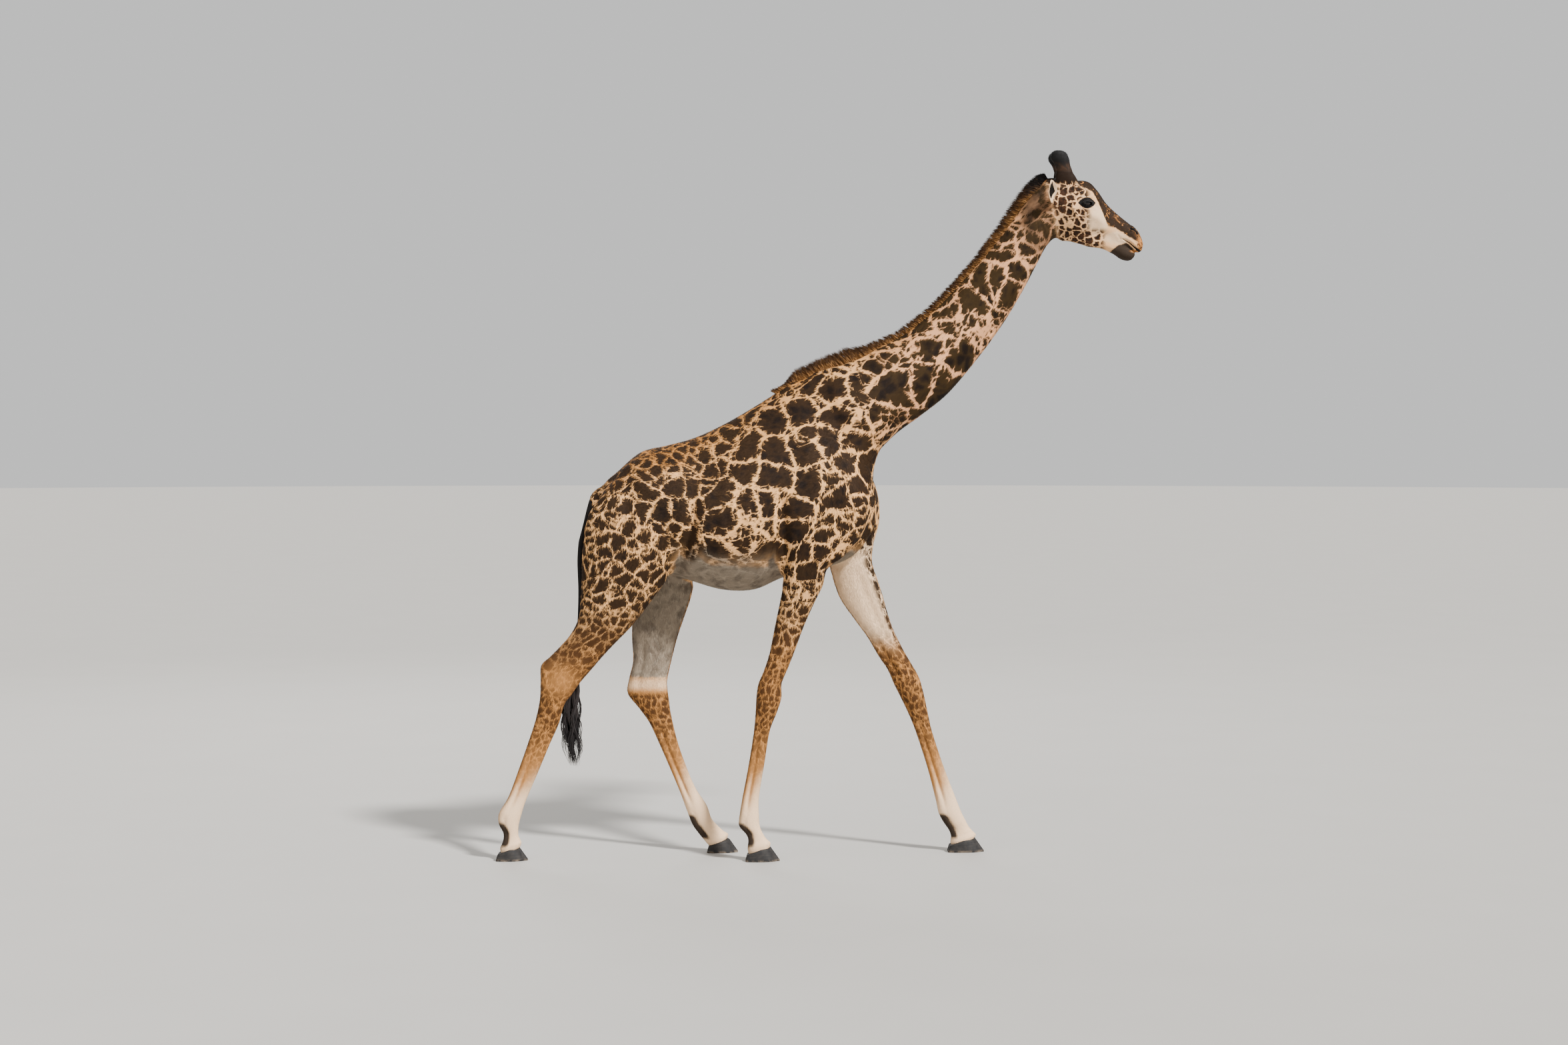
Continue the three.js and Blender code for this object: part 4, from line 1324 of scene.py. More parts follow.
# ---- markings
@dataclass(frozen=True)
class Zones:
    """Where on the body each kind of marking lies, as smooth numbers kept on the skin and its tufts.

    grain is how many patches fit in a metre, and gap half the width of the pale lines between them. The rest
    go from 0 to 1: how golden the lines are, how grey, how tan and how white the ground is, how strong the
    patches are, and on the head how much of it is face, spotted, banded, orange or black. The grey is partly
    painted shade, the black is partly painted shade round the eyes, in the nostrils and between the lips, and
    the darkening under the jaw, on the neck under the head and on the backs of the legs is painted shade.
    """

    band_line: Path = (
        (1.33, 3.715), (1.4, 3.655), (1.474, 3.616), (1.5, 3.566), (1.532, 3.5), (1.552, 3.444),
        (1.594, 3.43), (1.64, 3.4), (1.686, 3.37), (1.72, 3.352), (1.76, 3.326),
    )
    ridge_line: Path = (
        (1.33, 3.7), (1.45, 3.668), (1.5, 3.618), (1.545, 3.556), (1.6, 3.506), (1.66, 3.456),
        (1.72, 3.41), (1.76, 3.38),
    )
    mouth_line: Path = (
        (1.64, 3.366), (1.672, 3.348), (1.698, 3.325), (1.722, 3.304), (1.736, 3.298),
    )
    nostril_line: Path = ((1.684, 3.4235), (1.697, 3.421), (1.713, 3.408), (1.72, 3.396))
    patch: Pair = (0.05, 0.03)  # half the dark patch round an eye, along the face and across it; the patch is the lids' dark skin with painted shadow of the lids and lashes
    orbit: Orbit = Orbit()
    ear: Ear = Ear()

    def of(self, points: Array, normals: Array, face: Array, limb: Array) -> dict[str, Array]:
        """All the zones.

        Args:
            points: (n, 3) places on the skin.
            normals: (n, 3) normals there.
            face: (n,) how much of each place is head, from 0 to 1.
            limb: (n,) how much of each place is leg.

        Returns:
            (n,) numbers for each zone's name.
        """
        x, y, z = points.T
        up = normals[:, 2]
        inward = -np.sign(y) * normals[:, 1]
        neck = fade(z - 2.45, -0.25, 0.25) * fade(x, 0.0, 0.4)
        hind = fade(x, -0.45, -0.6)

        # how many patches fit in a metre: few on the neck and the barrel, many down the legs
        grain = np.interp(x, (-1.2, -0.9, -0.65, -0.4, 0.1, 0.5), (11.0, 9.4, 7.0, 5.8, 5.6, 5.2))
        fore = np.interp(z, (0.9, 1.2, 1.45, 1.7, 2.05), (27.0, 21.0, 15.0, 10.5, 6.0))
        aft = np.interp(z, (0.9, 1.2, 1.45, 1.7, 2.0), (27.0, 20.0, 15.0, 12.0, 10.0))
        low = most(fade(z, 1.8, 1.4), fade(x, -0.5, -0.85), fade(x, -0.3, 0.1))
        lower = most(np.where(x > -0.45, fore, aft), grain)
        grain = grain ** (1 - low) * lower**low
        grain = np.where(neck > 0.5, np.interp(z, (2.5, 3.0, 3.3, 3.5), (4.8, 5.7, 7.6, 12.0)), grain)
        back = fade(up, 0.3, 0.85) * fade(x, 0.15, -0.1) * fade(z, 1.85, 2.05)
        grain = grain * (1 + 0.55 * back)

        # half the width of the lines between them
        along = (-1.2, -0.8, -0.5, -0.2, 0.2, 0.6, 1.0, 1.25)
        gap = np.interp(x, along, (2.2, 2.6, 4.4, 5.2, 5.4, 5.2, 6.2, 6.0)) / 1000
        gap = gap * (1 - 0.4 * back)
        tight = np.minimum(gap, np.interp(z, (0.9, 1.3, 1.6, 1.9), (1.5, 1.8, 2.4, 6)) / 1000)
        gap = np.where(neck < 0.5, gap * (1 - low) + tight * low, gap)

        # the grey, tan and white grounds; the grey is partly painted shade
        floor = np.interp(x, (-0.95, -0.77, -0.5, -0.25, 0.1), (1.66, 1.645, 1.61, 1.575, 1.6))
        barrel = fade(x, -0.95, -0.8) * fade(x, 0.1, 0.0) * (1 - limb)
        # the belly: its own paler coat greyed with painted shade, and painted shade on every body surface
        # that faces down
        belly = barrel * fade(z - floor, 0.02, -0.03)
        belly = most(belly, (1 - limb) * fade(up, -0.3, -0.7) * fade(z, 1.75, 1.62))
        # painted shade: the lower barrel above the belly, greyed towards it
        painted_shade = 0.55 * barrel * fade(z - floor, 0.22, 0.05)
        inside = fade(inward, 0.15, 0.65) * fade(z, 1.85, 1.68)
        grey_leg = hind * inside * fade(z, 0.955, 0.985)
        white_arm = (1 - hind) * inside * fade(z, 1.02, 1.3)
        grey = most(belly, painted_shade, grey_leg)
        tan = fade(z, 1.45, 1.02)
        ahead = normals[:, 0]
        white = most(fade(z - 0.09 * ahead, 0.62, 0.14), white_arm)
        white = most(white, 0.62 * hind * fade(np.abs(z - 0.94), 0.07, 0.01) * fade(inward, 0.0, 0.5))

        # where the patches fade
        bare = 0.9 * white_arm * fade(ahead, 0.65, 0.2)
        strong = np.minimum(fade(z, 0.3, 0.78), 1 - most(bare, 0.75 * grey_leg))
        cap = hind * fade(np.abs(z - 0.935), 0.065, 0.035) * fade(inward, 0.0, 0.5)
        strong = strong * (1 - 0.8 * belly) * (1 - cap)
        strong = strong * (1 - 0.8 * blob(points, (-1.4, -0.16, 0.985), (0.085, 0.1, 0.08)))

        # painted shade on the backs of the lower legs and on the hind legs above the hock, with the darker
        # backs of the fetlocks and pasterns
        behind = 0.42 * fade(ahead, -0.35, -0.85) * fade(z, 1.05, 0.85) * (1 - inside)
        behind = most(behind, 0.9 * self.heels(points))
        behind = most(behind, 0.42 * hind * (1 - inside) * fade(z, 1.52, 1.3) * fade(z, 0.95, 1.1))

        nape = fade(z, 2.6, 2.9) * fade(up, 0.35, 0.8)
        # painted shade on the neck under the head
        throat = (1 - face) * fade(z, 3.05, 3.45) * fade(x, 0.98, 1.14)
        made = {
            "grain": grain,
            "gap": gap,
            "gold": np.clip(most(back, nape), 0, 1),
            "grey": np.clip(grey, 0, 1),
            "rosy": fade(x, 0.05, 0.55) * fade(z, 2.1, 2.4),
            "tan": tan,
            "white": most(white, 0),
            "strong": strong,
            "face": face,
        }
        made = made | self.face(points, normals, face)
        # painted shade under the jaw, on the neck under the head and on the backs of the legs
        made["chin"] = most(made["chin"], 0.62 * throat, behind)
        return made

    def heels(self, points: Array) -> Array:
        """How much of each place is the dark back of a fetlock or of the pastern under it.

        Args:
            points: (n, 3) places on the skin.

        Returns:
            (n,) numbers from 0 to 1.
        """
        _, y, z = points.T
        far = np.full(len(points), 9.0)
        for leg in LEGS:
            path = np.array([section.low for section in leg.limb[-6:-1]])
            far = np.where(y * leg.side.value > 0, np.minimum(far, nearest_on(path, points[:, ::2])[0]), far)
        return fade(far, 0.056, 0.022) * fade(z, 0.235, 0.19) * fade(z, 0.05, 0.1)

    def face(self, points: Array, normals: Array, face: Array) -> dict[str, Array]:
        """The zones of the head.

        Args:
            points: (n, 3) places on the skin.
            normals: (n, 3) normals there.
            face: (n,) how much of each place is head.

        Returns:
            (n,) numbers for each zone's name.
        """
        x, y, z = points.T
        folded = folded_over(points)

        def above(line: Path, low: float, high: float) -> Array:
            """How far each place is past a side-view line, from 0 to 1."""
            edge = np.array(line)
            return face * fade(z - np.interp(x, edge[:, 0], edge[:, 1]), low, high)

        # the black under the dock: the tail's own dark hair, with painted shadow on it
        dock = fade(x, -1.195, -1.24) * fade(z, 1.985, 1.93) * (z > 0.9)
        dock = dock * (np.abs(y) < 0.045) * (x > -1.4) * fade(np.abs(x + 1.3), 0.075, 0.05)
        slit, rim = self.ears(folded, normals * np.where(y[:, None] < 0, (1, -1, 1), 1))
        seen = [self.orbit.around(points, side) for side in Side]
        eye = np.minimum.reduce([far for _, far in seen])
        lens = np.minimum.reduce([self.lens(place, far) for place, far in seen])

        # the dark band down the nose, its ridge and the crown
        band = above(self.band_line, -0.02, 0.018) * fade(x, 1.3, 1.36)
        crown = fade(z, 3.635, 3.7) * fade(x, 1.44, 1.4)
        ridge = most(above(self.ridge_line, -0.006, 0.014) * fade(x, 1.3, 1.36), crown)

        # painted shade under the jaw, and the lips, nostrils and muzzle
        line = np.interp(x, (1.5, 1.575, 1.62, 1.66, 1.7, 1.74), (3.27, 3.3, 3.332, 3.344, 3.314, 3.288))
        # painted shade: the underside of the jaw, below a line
        chin = face * fade(z - line, 0.012, -0.012) * fade(x, 1.5, 1.6)
        lips = blob(folded, (1.745, 0.0, 3.335), (0.036, 0.1, 0.045))
        lips = most(lips, 0.8 * blob(folded, (1.712, 0.0, 3.3), (0.045, 0.1, 0.012)))
        # painted shade in the nostril slits
        nostril = nearest_on(np.array(self.nostril_line), points[:, ::2])[0]
        nostril = fade(nostril, 0.0085, 0.0045) * fade(np.abs(y), 0.01, 0.018)
        snout = blob(folded, (1.712, 0.045, 3.405), (0.045, 0.08, 0.04))
        flecks = blob(folded, (1.612, 0.04, 3.482), (0.075, 0.06, 0.036))

        # pale cheeks and a painted highlight on the brow, as an arc above the eye, and where the cheeks are
        # spotted
        pale = blob(folded, (1.5, 0.08, 3.47), (0.075, 0.09, 0.095))
        pale = most(pale, blob(folded, (1.61, 0.06, 3.372), (0.085, 0.08, 0.04)))
        # painted highlight: a pale arc on the brow above the eye
        pale = most(pale, fade(np.abs(eye - 2.55), 0.35, 0.1) * fade(z, 3.58, 3.595))
        spots = fade(x, 1.475, 1.43) * fade(z, 3.36, 3.38)
        spots = most(spots, fade(z, 3.43, 3.4) * fade(x, 1.56, 1.52))

        # painted shade in the parting of the lips, and the dark edge of the upper one
        lips_part = nearest_on(np.array(self.mouth_line), points[:, ::2])[0]
        mouth = np.array(self.mouth_line)
        lip = fade(lips_part, 0.003 + 0.014 * fade(x, 1.655, 1.735), 0.001)
        lip = 0.85 * lip * fade(z - np.interp(x, mouth[:, 0], mouth[:, 1]), -0.001, 0.003)
        # painted shadow of the lids and lashes darkens the patch round each eye
        black = most(fade(lens, 1.25, 0.8), fade(lips_part, 0.0032, 0.0012), lip, nostril)
        return {
            "spots": face * spots * (1 - band) * (1 - rim) * fade(eye, 2.0, 2.4),
            "band": band * (1 - rim),
            "ridge": ridge * (1 - rim),
            "orange": face * np.clip(1.3 * lips + 0.45 * snout + 0.48 * flecks, 0, 1),
            "chin": chin * (1 - lips),
            "pale": np.clip(most(face * pale * (1 - band), rim), 0, 1),
            "black": np.clip(most(face * black, slit, dock), 0, 1),
            "ear": rim,
        }

    def lens(self, seen: Array, far: Array) -> Array:
        """(n,) how far each place is out of the dark, pointed patch round an eye, which ends at 1: dark lid
        skin with painted shadow of the lids and lashes.
        """
        shape = np.abs(seen[:, 1]) / self.patch[1] + (seen[:, 0] / self.patch[0]) ** 2
        return np.where(far < 6.0, shape, 9.0)

    def ears(self, folded: Array, normals: Array) -> tuple[Array, Array]:
        """The dark hollow of the ears and all of their outside.

        Args:
            folded: (n, 3) places, with the right side folded over to the left.
            normals: (n, 3) normals, folded over too.

        Returns:
            (n,) numbers for each.
        """
        reach, edge, front = self.ear.axes()
        past = folded - self.ear.root
        along = past @ reach / (reach @ reach)
        across = np.abs(past @ edge) / (self.ear.width * most(self.ear.leaf(along.clip(0, 1)), 0.2))
        on_ear = fade(along, 0.12, 0.25) * (np.linalg.norm(past - along[:, None] * reach, axis=1) < 0.08)
        hollow = fade(normals @ front, -0.1, 0.25)
        slit = on_ear * hollow * fade(across, 0.68, 0.5) * fade(along, 0.93, 0.82) * fade(along, 0.22, 0.34)
        return slit, on_ear


@dataclass(frozen=True)
class CoatFinish:
    """The short coat: dark leaf-edged patches on a pale ground, the same on skin and tufts."""

    cream: Colour = (0.87, 0.455, 0.175)
    rose: Colour = (0.82, 0.4, 0.19)
    gold: Colour = (0.52, 0.215, 0.05)
    # the grey ground, which is partly painted shade on the belly and the lower barrel
    ash: Colour = (0.3, 0.24, 0.175)
    slate: Colour = (0.07, 0.056, 0.045)
    sand: Colour = (0.5, 0.22, 0.062)
    chalk: Colour = (0.86, 0.59, 0.36)
    patch_rim: Colour = (0.027, 0.0125, 0.004)
    patch_heart: Colour = (0.009, 0.0042, 0.0022)
    moss: Colour = (0.04, 0.022, 0.0055)
    rust: Colour = (0.085, 0.034, 0.009)
    umber: Colour = (0.016, 0.0075, 0.0035)
    apricot: Colour = (0.52, 0.21, 0.055)
    peach: Colour = (0.84, 0.48, 0.23)
    # painted shade under the jaw, on the neck under the head and on the backs of the legs
    painted_shade: Colour = (0.036, 0.023, 0.0145)
    russet: Colour = (0.06, 0.024, 0.01)
    olive: Colour = (0.024, 0.012, 0.005)
    soot: Colour = (0.006, 0.0045, 0.004)
    step: float = 1.45  # how much finer each grade of patches is than the last
    rift: float = 0.4  # how far a change of grade lies from the middle of a grade, in metres
    cuts: float = 2.9  # how much finer the cuts in an edge are than the patches
    reach: float = 0.105  # how deep they go, as a share of a patch
    bite: float = 0.22  # how fast they open towards the edge

    def material(self) -> Material:
        """Builds the coat's material.

        Returns:
            The material.
        """
        g = Graph("coat")
        root = g.stored_place("root")
        mask, depth = self.patches(g, root)
        fine = g.noise(root, 230.0, 2.0)
        cloud = g.noise(root, 9.0, 3.0)
        blotch = (g.noise(root, 17.0, 3.0) * 0.7 + fine * 0.3).ramp(0.47, 0.62) * 0.6
        ground = g.mix(g.stored("rosy"), self.cream, self.rose)
        ground = g.mix(g.stored("gold"), ground, self.gold)
        ground = g.mix(g.stored("tan"), ground, self.sand)
        # painted shade: the grey ground of the belly and the lower barrel, with its blotches
        grey = (g.stored("grey") + (cloud - 0.5)).ramp(0.25, 0.75)
        ground = g.mix(grey, ground, g.mix(blotch, self.ash, self.slate))
        white = g.stored("white") + (cloud - 0.5) * 0.5 + (self.streaks(g) - 0.5) * 0.4
        ground = g.mix(white.ramp(0.15, 0.85), ground, self.chalk)
        # painted shade under the jaw, on the neck under the head and on the backs of the legs
        ground = g.mix((g.stored("chin") + (cloud - 0.5) * 0.6).ramp(0.2, 0.8), ground, self.painted_shade)
        heart = (depth + (cloud - 0.5) * 0.06).ramp(0.004, 0.03)
        patch = g.mix(heart, g.mix(g.stored("rosy") * 0.7, self.patch_rim, self.moss), self.patch_heart)
        patch = g.mix(g.stored("tan") * 0.85, patch, self.rust)
        body = g.mix(mask * g.stored("strong"), ground, patch)
        body = g.mix(g.stored("face"), body, self.face(g, root))
        black = g.stored("black") + (g.noise(root, 120.0, 2.0) - 0.5) * 0.5
        body = g.mix(black.ramp(0.35, 0.65), body, self.soot)
        streak = self.streaks(g)
        tone = (fine - 0.5) * 0.34 + (streak - 0.5) * 0.22 + 1.0
        colour = g.toned(body, tone)
        normal = g.bump(streak * 0.7 + fine * 0.3, 0.55, 0.0025)
        rough = 0.7 + (1 - mask) * 0.1
        return g.finish(Base_Color=colour, Roughness=rough, Normal=normal, Specular_IOR_Level=0.15)

    def streaks(self, g: Graph) -> Socket:
        """Fine streaks that follow the lie of the hair, from the unwrap."""
        where = g.node("UVMap", {"uv_map": UNWRAP}).scaled((2600.0, 520.0, 1.0))
        return g.noise(where, 1.0, 1.0)

    def patches(self, g: Graph, root: Socket) -> tuple[Socket, Socket]:
        """The patches of the body: cells that change size from place to place, with cuts in their edges.

        Args:
            g: The graph.
            root: Where on the skin the hair grows.

        Returns:
            Where patches are, and how deep inside one a place is.
        """
        grade = g.stored("grain").math("LOGARITHM", self.step) + (g.noise(root, 4.0) - 0.5) * 0.8
        whole = grade.math("ROUND")
        rift = (0.5 - (grade - whole).math("ABSOLUTE")) * self.rift
        scale = self.step**whole
        lobed = g.wobble(root, 6.0, 0.08)
        place = g.wobble(lobed, 20.0, 0.026, 2.0)
        edge = (g.cells(place.scaled(scale), "DISTANCE_TO_EDGE") / scale).least(rift)
        gap = g.stored("gap") * (g.noise(root, 7.0) * 1.1 + 0.45)
        rough = gap + 0.034 / scale
        torn = (g.noise(root, 24.0, 2.0) - 0.5) * (rough * 2.8)
        torn = torn + (g.noise(root, 62.0, 1.0) - 0.5) * (rough * 1.6)
        edge = edge + torn + (self.streaks(g) - 0.5) * 0.005
        cuts = g.cells(place.scaled(scale * self.cuts), "DISTANCE_TO_EDGE") / (scale * self.cuts)
        teeth = (gap - edge + self.reach / scale) * self.bite
        inside = (edge - gap).least(cuts - teeth)
        return inside.ramp(-0.0015, 0.0015), inside

    def face(self, g: Graph, root: Socket) -> Socket:
        """The colours of the head: spotted cheeks, a dark band down the nose, and a pale muzzle.

        Args:
            g: The graph.
            root: Where on the skin the hair grows.

        Returns:
            The colour.
        """
        place = g.wobble(root, 30.0, 0.02, 2.0)
        edge = g.cells(place.scaled(27.0), "DISTANCE_TO_EDGE") / 27.0
        torn = (g.noise(root, 85.0, 2.0) - 0.5) * 0.009 + (g.noise(root, 14.0) - 0.5) * 0.014
        spotted = (edge + torn - 0.0027).ramp(-0.001, 0.001) * g.stored("spots")
        cloud = g.noise(root, 42.0, 3.0)
        mottle = g.noise(root, 95.0, 2.0)
        skin = g.mix((g.stored("pale") + (cloud - 0.5) * 0.6).ramp(0.25, 0.7), self.peach, self.chalk)
        # painted shade under the jaw
        skin = g.mix((g.stored("chin") + (cloud - 0.5) * 0.9).ramp(0.25, 0.6), skin, self.painted_shade)
        brown = g.mix((cloud * 0.6 + mottle * 0.4).ramp(0.42, 0.6), self.umber, self.russet)
        skin = g.mix(spotted, skin, brown)
        olive = g.mix((cloud * 0.5 + mottle * 0.5).ramp(0.56, 0.64), self.olive, self.apricot)
        ragged = (g.noise(root, 36.0, 3.0) - 0.5) * 1.3
        skin = g.mix((g.stored("band") + ragged).ramp(0.35, 0.65), skin, olive)
        skin = g.mix((g.stored("ridge") + ragged * 1.4).ramp(0.4, 0.6), skin, self.umber)
        rusty = g.mix(mottle.ramp(0.46, 0.62), self.apricot, self.russet)
        return g.mix((g.stored("orange") + (mottle - 0.5) * 0.9).ramp(0.35, 0.75), skin, rusty)


# ---- hair
@dataclass(frozen=True)
class Roots:
    """Places on the skin that hair grows from, with all that it needs to know of them."""

    points: Array
    normals: Array
    lie: Array
    unwrap: Array
    zones: dict[str, Array]

    def parts(self) -> tuple[Array, ...]:
        """Its places, normals, lie and unwrap."""
        return self.points, self.normals, self.lie, self.unwrap

    def pick(self, which: Array) -> "Roots":
        """Some of the roots, by number or by a mask."""
        zones = {name: values[which] for name, values in self.zones.items()}
        return Roots(self.points[which], self.normals[which], self.lie[which], self.unwrap[which], zones)


class Ground:
    """A finished skin, ready to be sown with hair."""

    def __init__(self, skin: Object, zones: dict[str, Array]) -> None:
        """Reads the skin.

        Args:
            skin: The skin object, with its lie and its unwrap.
            zones: (n,) numbers on its vertices for each zone's name.
        """
        mesh = skin.data
        mesh.calc_loop_triangles()
        self.corners = read(mesh.loop_triangles, "vertices", 3)
        self.loops = read(mesh.loop_triangles, "loops", 3)
        self.points = places_of(mesh)
        self.normals = normals_of(mesh)
        self.lie = attribute_of(mesh, "lie")
        self.unwrap = read(mesh.uv_layers[UNWRAP].data, "uv", 2, float)
        self.zones = zones
        a, b, c = (self.points[self.corners[:, k]] for k in range(3))
        self.areas = np.linalg.norm(np.cross(b - a, c - a), axis=1) / 2
        self.tree = BVHTree.FromPolygons(self.points.tolist(), self.corners.tolist(), all_triangles=True)

    def roots(self, faces: Array, shares: Array) -> Roots:
        """Roots on some triangles.

        Args:
            faces: (n,) numbers of triangles.
            shares: (n, 3) shares of their three corners.

        Returns:
            The roots.
        """
        corners = self.corners[faces]

        def mixed(values: Array) -> Array:
            """Values of vertices, mixed at the roots."""
            return np.einsum("nk,nk...->n...", shares, values[corners])

        points, normals = mixed(self.points), unit(mixed(self.normals))
        lie = mixed(self.lie)
        lie = unit(lie - normals * (lie * normals).sum(axis=1, keepdims=True))
        unwrap = np.einsum("nk,nkc->nc", shares, self.unwrap[self.loops[faces]])
        zones = {name: mixed(values) for name, values in self.zones.items()}
        return Roots(points, normals, lie, unwrap, zones)

    def sow(self, count: int, density: Array, chance: np.random.Generator) -> Roots:
        """Scatters roots over the skin.

        Args:
            count: How many to sow.
            density: (vertices,) how thickly to sow near each vertex.
            chance: The random numbers to use.

        Returns:
            The roots.
        """
        weight = self.areas * density[self.corners].mean(axis=1)
        edges = np.cumsum(weight)
        spots = (np.arange(count) + chance.random(count)) / count * edges[-1]
        faces = np.searchsorted(edges, spots, side="right").clip(0, len(edges) - 1)
        first, second = np.sqrt(chance.random(count)), chance.random(count)
        shares = np.stack([1 - first, first * (1 - second), first * second], axis=1)
        return self.roots(faces, shares)

    def under(self, spots: Array) -> Roots:
        """The roots nearest to some places.

        Args:
            spots: (n, 3) places near the skin.

        Returns:
            The roots, one for each place.
        """
        found = [self.tree.find_nearest(spot) for spot in spots]
        faces = np.array([hit[2] for hit in found])
        p = np.array([hit[0] for hit in found])
        a, b, c = (self.points[self.corners[faces, k]] for k in range(3))
        whole = np.cross(b - a, c - a)
        size = (whole**2).sum(axis=1) + 1e-20
        v = (np.cross(p - a, c - a) * whole).sum(axis=1) / size
        w = (np.cross(b - a, p - a) * whole).sum(axis=1) / size
        return self.roots(faces, np.stack([1 - v - w, v, w], axis=1))


@dataclass(frozen=True)
class Locks:
    """Closed locks of hair: rings of three points along a spine, which end in a point.

    `spines` holds, for each lock, the middles of its rings and then its tip, `across` the way it is wide,
    `widths` half its width at each ring, and `thick` how thick it is as a share of that. `own` is how much
    of its shading is its own and not the skin's.
    """

    roots: Roots
    spines: Array
    widths: Array
    thick: float = 0.5
    own: float = 0.35
    tilt: Array | float = 0.0
    plot: float = 0.0014  # half of the width that a lock takes up on the unwrap

    def build(self, name: str) -> Object:
        """Makes all the locks as one object.

        Args:
            name: Its name.

        Returns:
            The object, with the root, the zones and the unwrap of every lock.
        """
        count, rings = self.widths.shape
        along = unit(np.gradient(self.spines, axis=1))[:, :rings]
        across = unit(np.cross(self.roots.normals[:, None], along))
        out = np.cross(along, across)
        turn = np.broadcast_to(np.asarray(self.tilt, float).reshape(-1, 1, 1), (count, 1, 1))
        across, out = across * np.cos(turn) + out * np.sin(turn), out * np.cos(turn) - across * np.sin(turn)
        wide = self.widths[..., None]
        middles = self.spines[:, :rings]
        sides = (middles - across * wide, middles + across * wide, middles + out * wide * self.thick)
        body = np.stack(sides, axis=2).reshape(count, rings * 3, 3)
        points = np.concatenate([body, self.spines[:, rings:]], axis=1)
        size = rings * 3 + 1
        mesh = mesh_of(name, points.reshape(-1, 3), self.faces(count, rings, size))
        shell = np.stack([-across, across, out], axis=2).reshape(count, rings * 3, 3)
        shell = np.concatenate([shell, self.roots.normals[:, None]], axis=1)
        normals = unit(shell * self.own + self.roots.normals[:, None] * (1 - self.own))
        self.dress(mesh, size, rings)
        mesh.normals_split_custom_set_from_vertices(normals.reshape(-1, 3).tolist())
        return link(name, mesh)

    @staticmethod
    def faces(count: int, rings: int, size: int) -> list[Array]:
        """The faces of all the locks.

        Args:
            count: How many locks there are.
            rings: How many rings each has.
            size: How many points each has.

        Returns:
            Their triangles and their quads.
        """
        edges = ((0, 1), (1, 2), (2, 0))
        last = 3 * (rings - 1)
        triangles = [(0, 2, 1)] + [(last + a, last + b, size - 1) for a, b in edges]
        quads = [(r + a, r + b, r + 3 + b, r + 3 + a) for r in range(0, last, 3) for a, b in edges]
        start = (np.arange(count) * size)[:, None, None]
        made = [(start + np.array(triangles)[None]).reshape(-1, 3)]
        return made + ([(start + np.array(quads)[None]).reshape(-1, 4)] if quads else [])

    def dress(self, mesh: Mesh, size: int, rings: int) -> None:
        """Gives every point its lock's root and zones, and every lock its patch of the unwrap.

        Args:
            mesh: The locks' mesh.
            size: How many points a lock has.
            rings: How many rings it has.
        """
        put_attribute(mesh, "root", np.repeat(self.roots.points, size, axis=0))
        for zone, values in self.roots.zones.items():
            put_attribute(mesh, zone, np.repeat(values, size))
        height = np.append(np.repeat(np.arange(rings) / rings, 3), 1.0)
        put_attribute(mesh, "tip", np.tile(height, len(self.roots.points)))
        side = np.append(np.tile([-1.0, 1.0, 0.0], rings), 0.0)
        patch = np.stack([side, 2 * height - 1 + 0.3 * (side == 0)], axis=1) * self.plot
        spots = (self.roots.unwrap[:, None] + patch[None]).reshape(-1, 2)
        put_unwrap(mesh, spots[read(mesh.loops, "vertex_index")])


@dataclass(frozen=True)
class Coat:
    """The short hair: thin tufts that lie along the skin and overlap."""

    tufts: int = 318_000
    seed: int = 11
    sink: float = 0.0008
    length: float = 0.0145
    width: float = 0.0016
    finer: Pair = (0.0085, 0.0007)  # how much shorter and thinner it is on the face and the feet

    def region(self, roots: Roots) -> Array:
        """Which piece of coat each root belongs to.

        Args:
            roots: The roots.

        Returns:
            (n,) names.
        """
        x, y, z = roots.points.T
        side = np.where(y > 0, "left", "right")
        part = np.where(z < 1.45, np.where(x > -0.45, "fore_leg", "hind_leg"), "barrel")
        part = np.where((z >= 1.45) & (x < -0.45), "rump", part)
        part = np.where((x > 0.42) & (z > 2.0), "neck", part)
        part = np.where((part == "barrel") & (z > 2.05) & (x > -0.1), "shoulder", part)
        part = np.where(roots.zones["face"] > 0.5, "head", part)
        return np.char.add(np.char.add(part, "_"), side)

    def build(self, ground: Ground) -> dict[str, Object]:
        """Grows the coat.

        Args:
            ground: The skin.

        Returns:
            Its pieces, by name.
        """
        chance = np.random.default_rng(self.seed)
        z = ground.points[:, 2]
        density = 1.0 + 4.0 * ground.zones["face"] + 1.2 * fade(z, 1.1, 0.5)
        haired = (ground.zones["ear"] < 0.5) & (ground.zones["black"] < 0.3) & (z > 0.05)
        roots = ground.sow(self.tufts, density * haired, chance)
        names = self.region(roots)
        made = {}
        for name in sorted(set(names)):
            made[f"coat_{name}"] = self.tuft(f"coat_{name}", roots.pick(names == name), chance)
        return made

    def tuft(self, name: str, roots: Roots, chance: np.random.Generator) -> Object:
        """Grows one tuft on each root.

        Args:
            name: The piece's name.
            roots: Its roots.
            chance: The random numbers to use.

        Returns:
            The piece.
        """
        count = len(roots.points)
        small = np.maximum(roots.zones["face"], 0.75 * fade(roots.points[:, 2], 1.0, 0.35))
        length = (self.length - self.finer[0] * small) * (0.7 + 0.6 * chance.random(count))
        width = (self.width - self.finer[1] * small) * (0.7 + 0.6 * chance.random(count))
        side = np.cross(roots.normals, roots.lie)
        way = unit(roots.lie + side * chance.normal(0.0, 0.16, (count, 1)))
        length *= 1 - 0.55 * roots.zones["ear"]
        lift = COAT_DEPTH * (0.55 + 0.75 * chance.random(count)) / (1 + 2.2 * small)
        lift *= 1 - 0.7 * roots.zones["ear"]
        start = roots.points - roots.normals * self.sink
        tip = roots.points + way * length[:, None] + roots.normals * lift[:, None]
        spines = np.stack([start, tip], axis=1)
        return Locks(roots, spines, width[:, None], own=0.3).build(name)


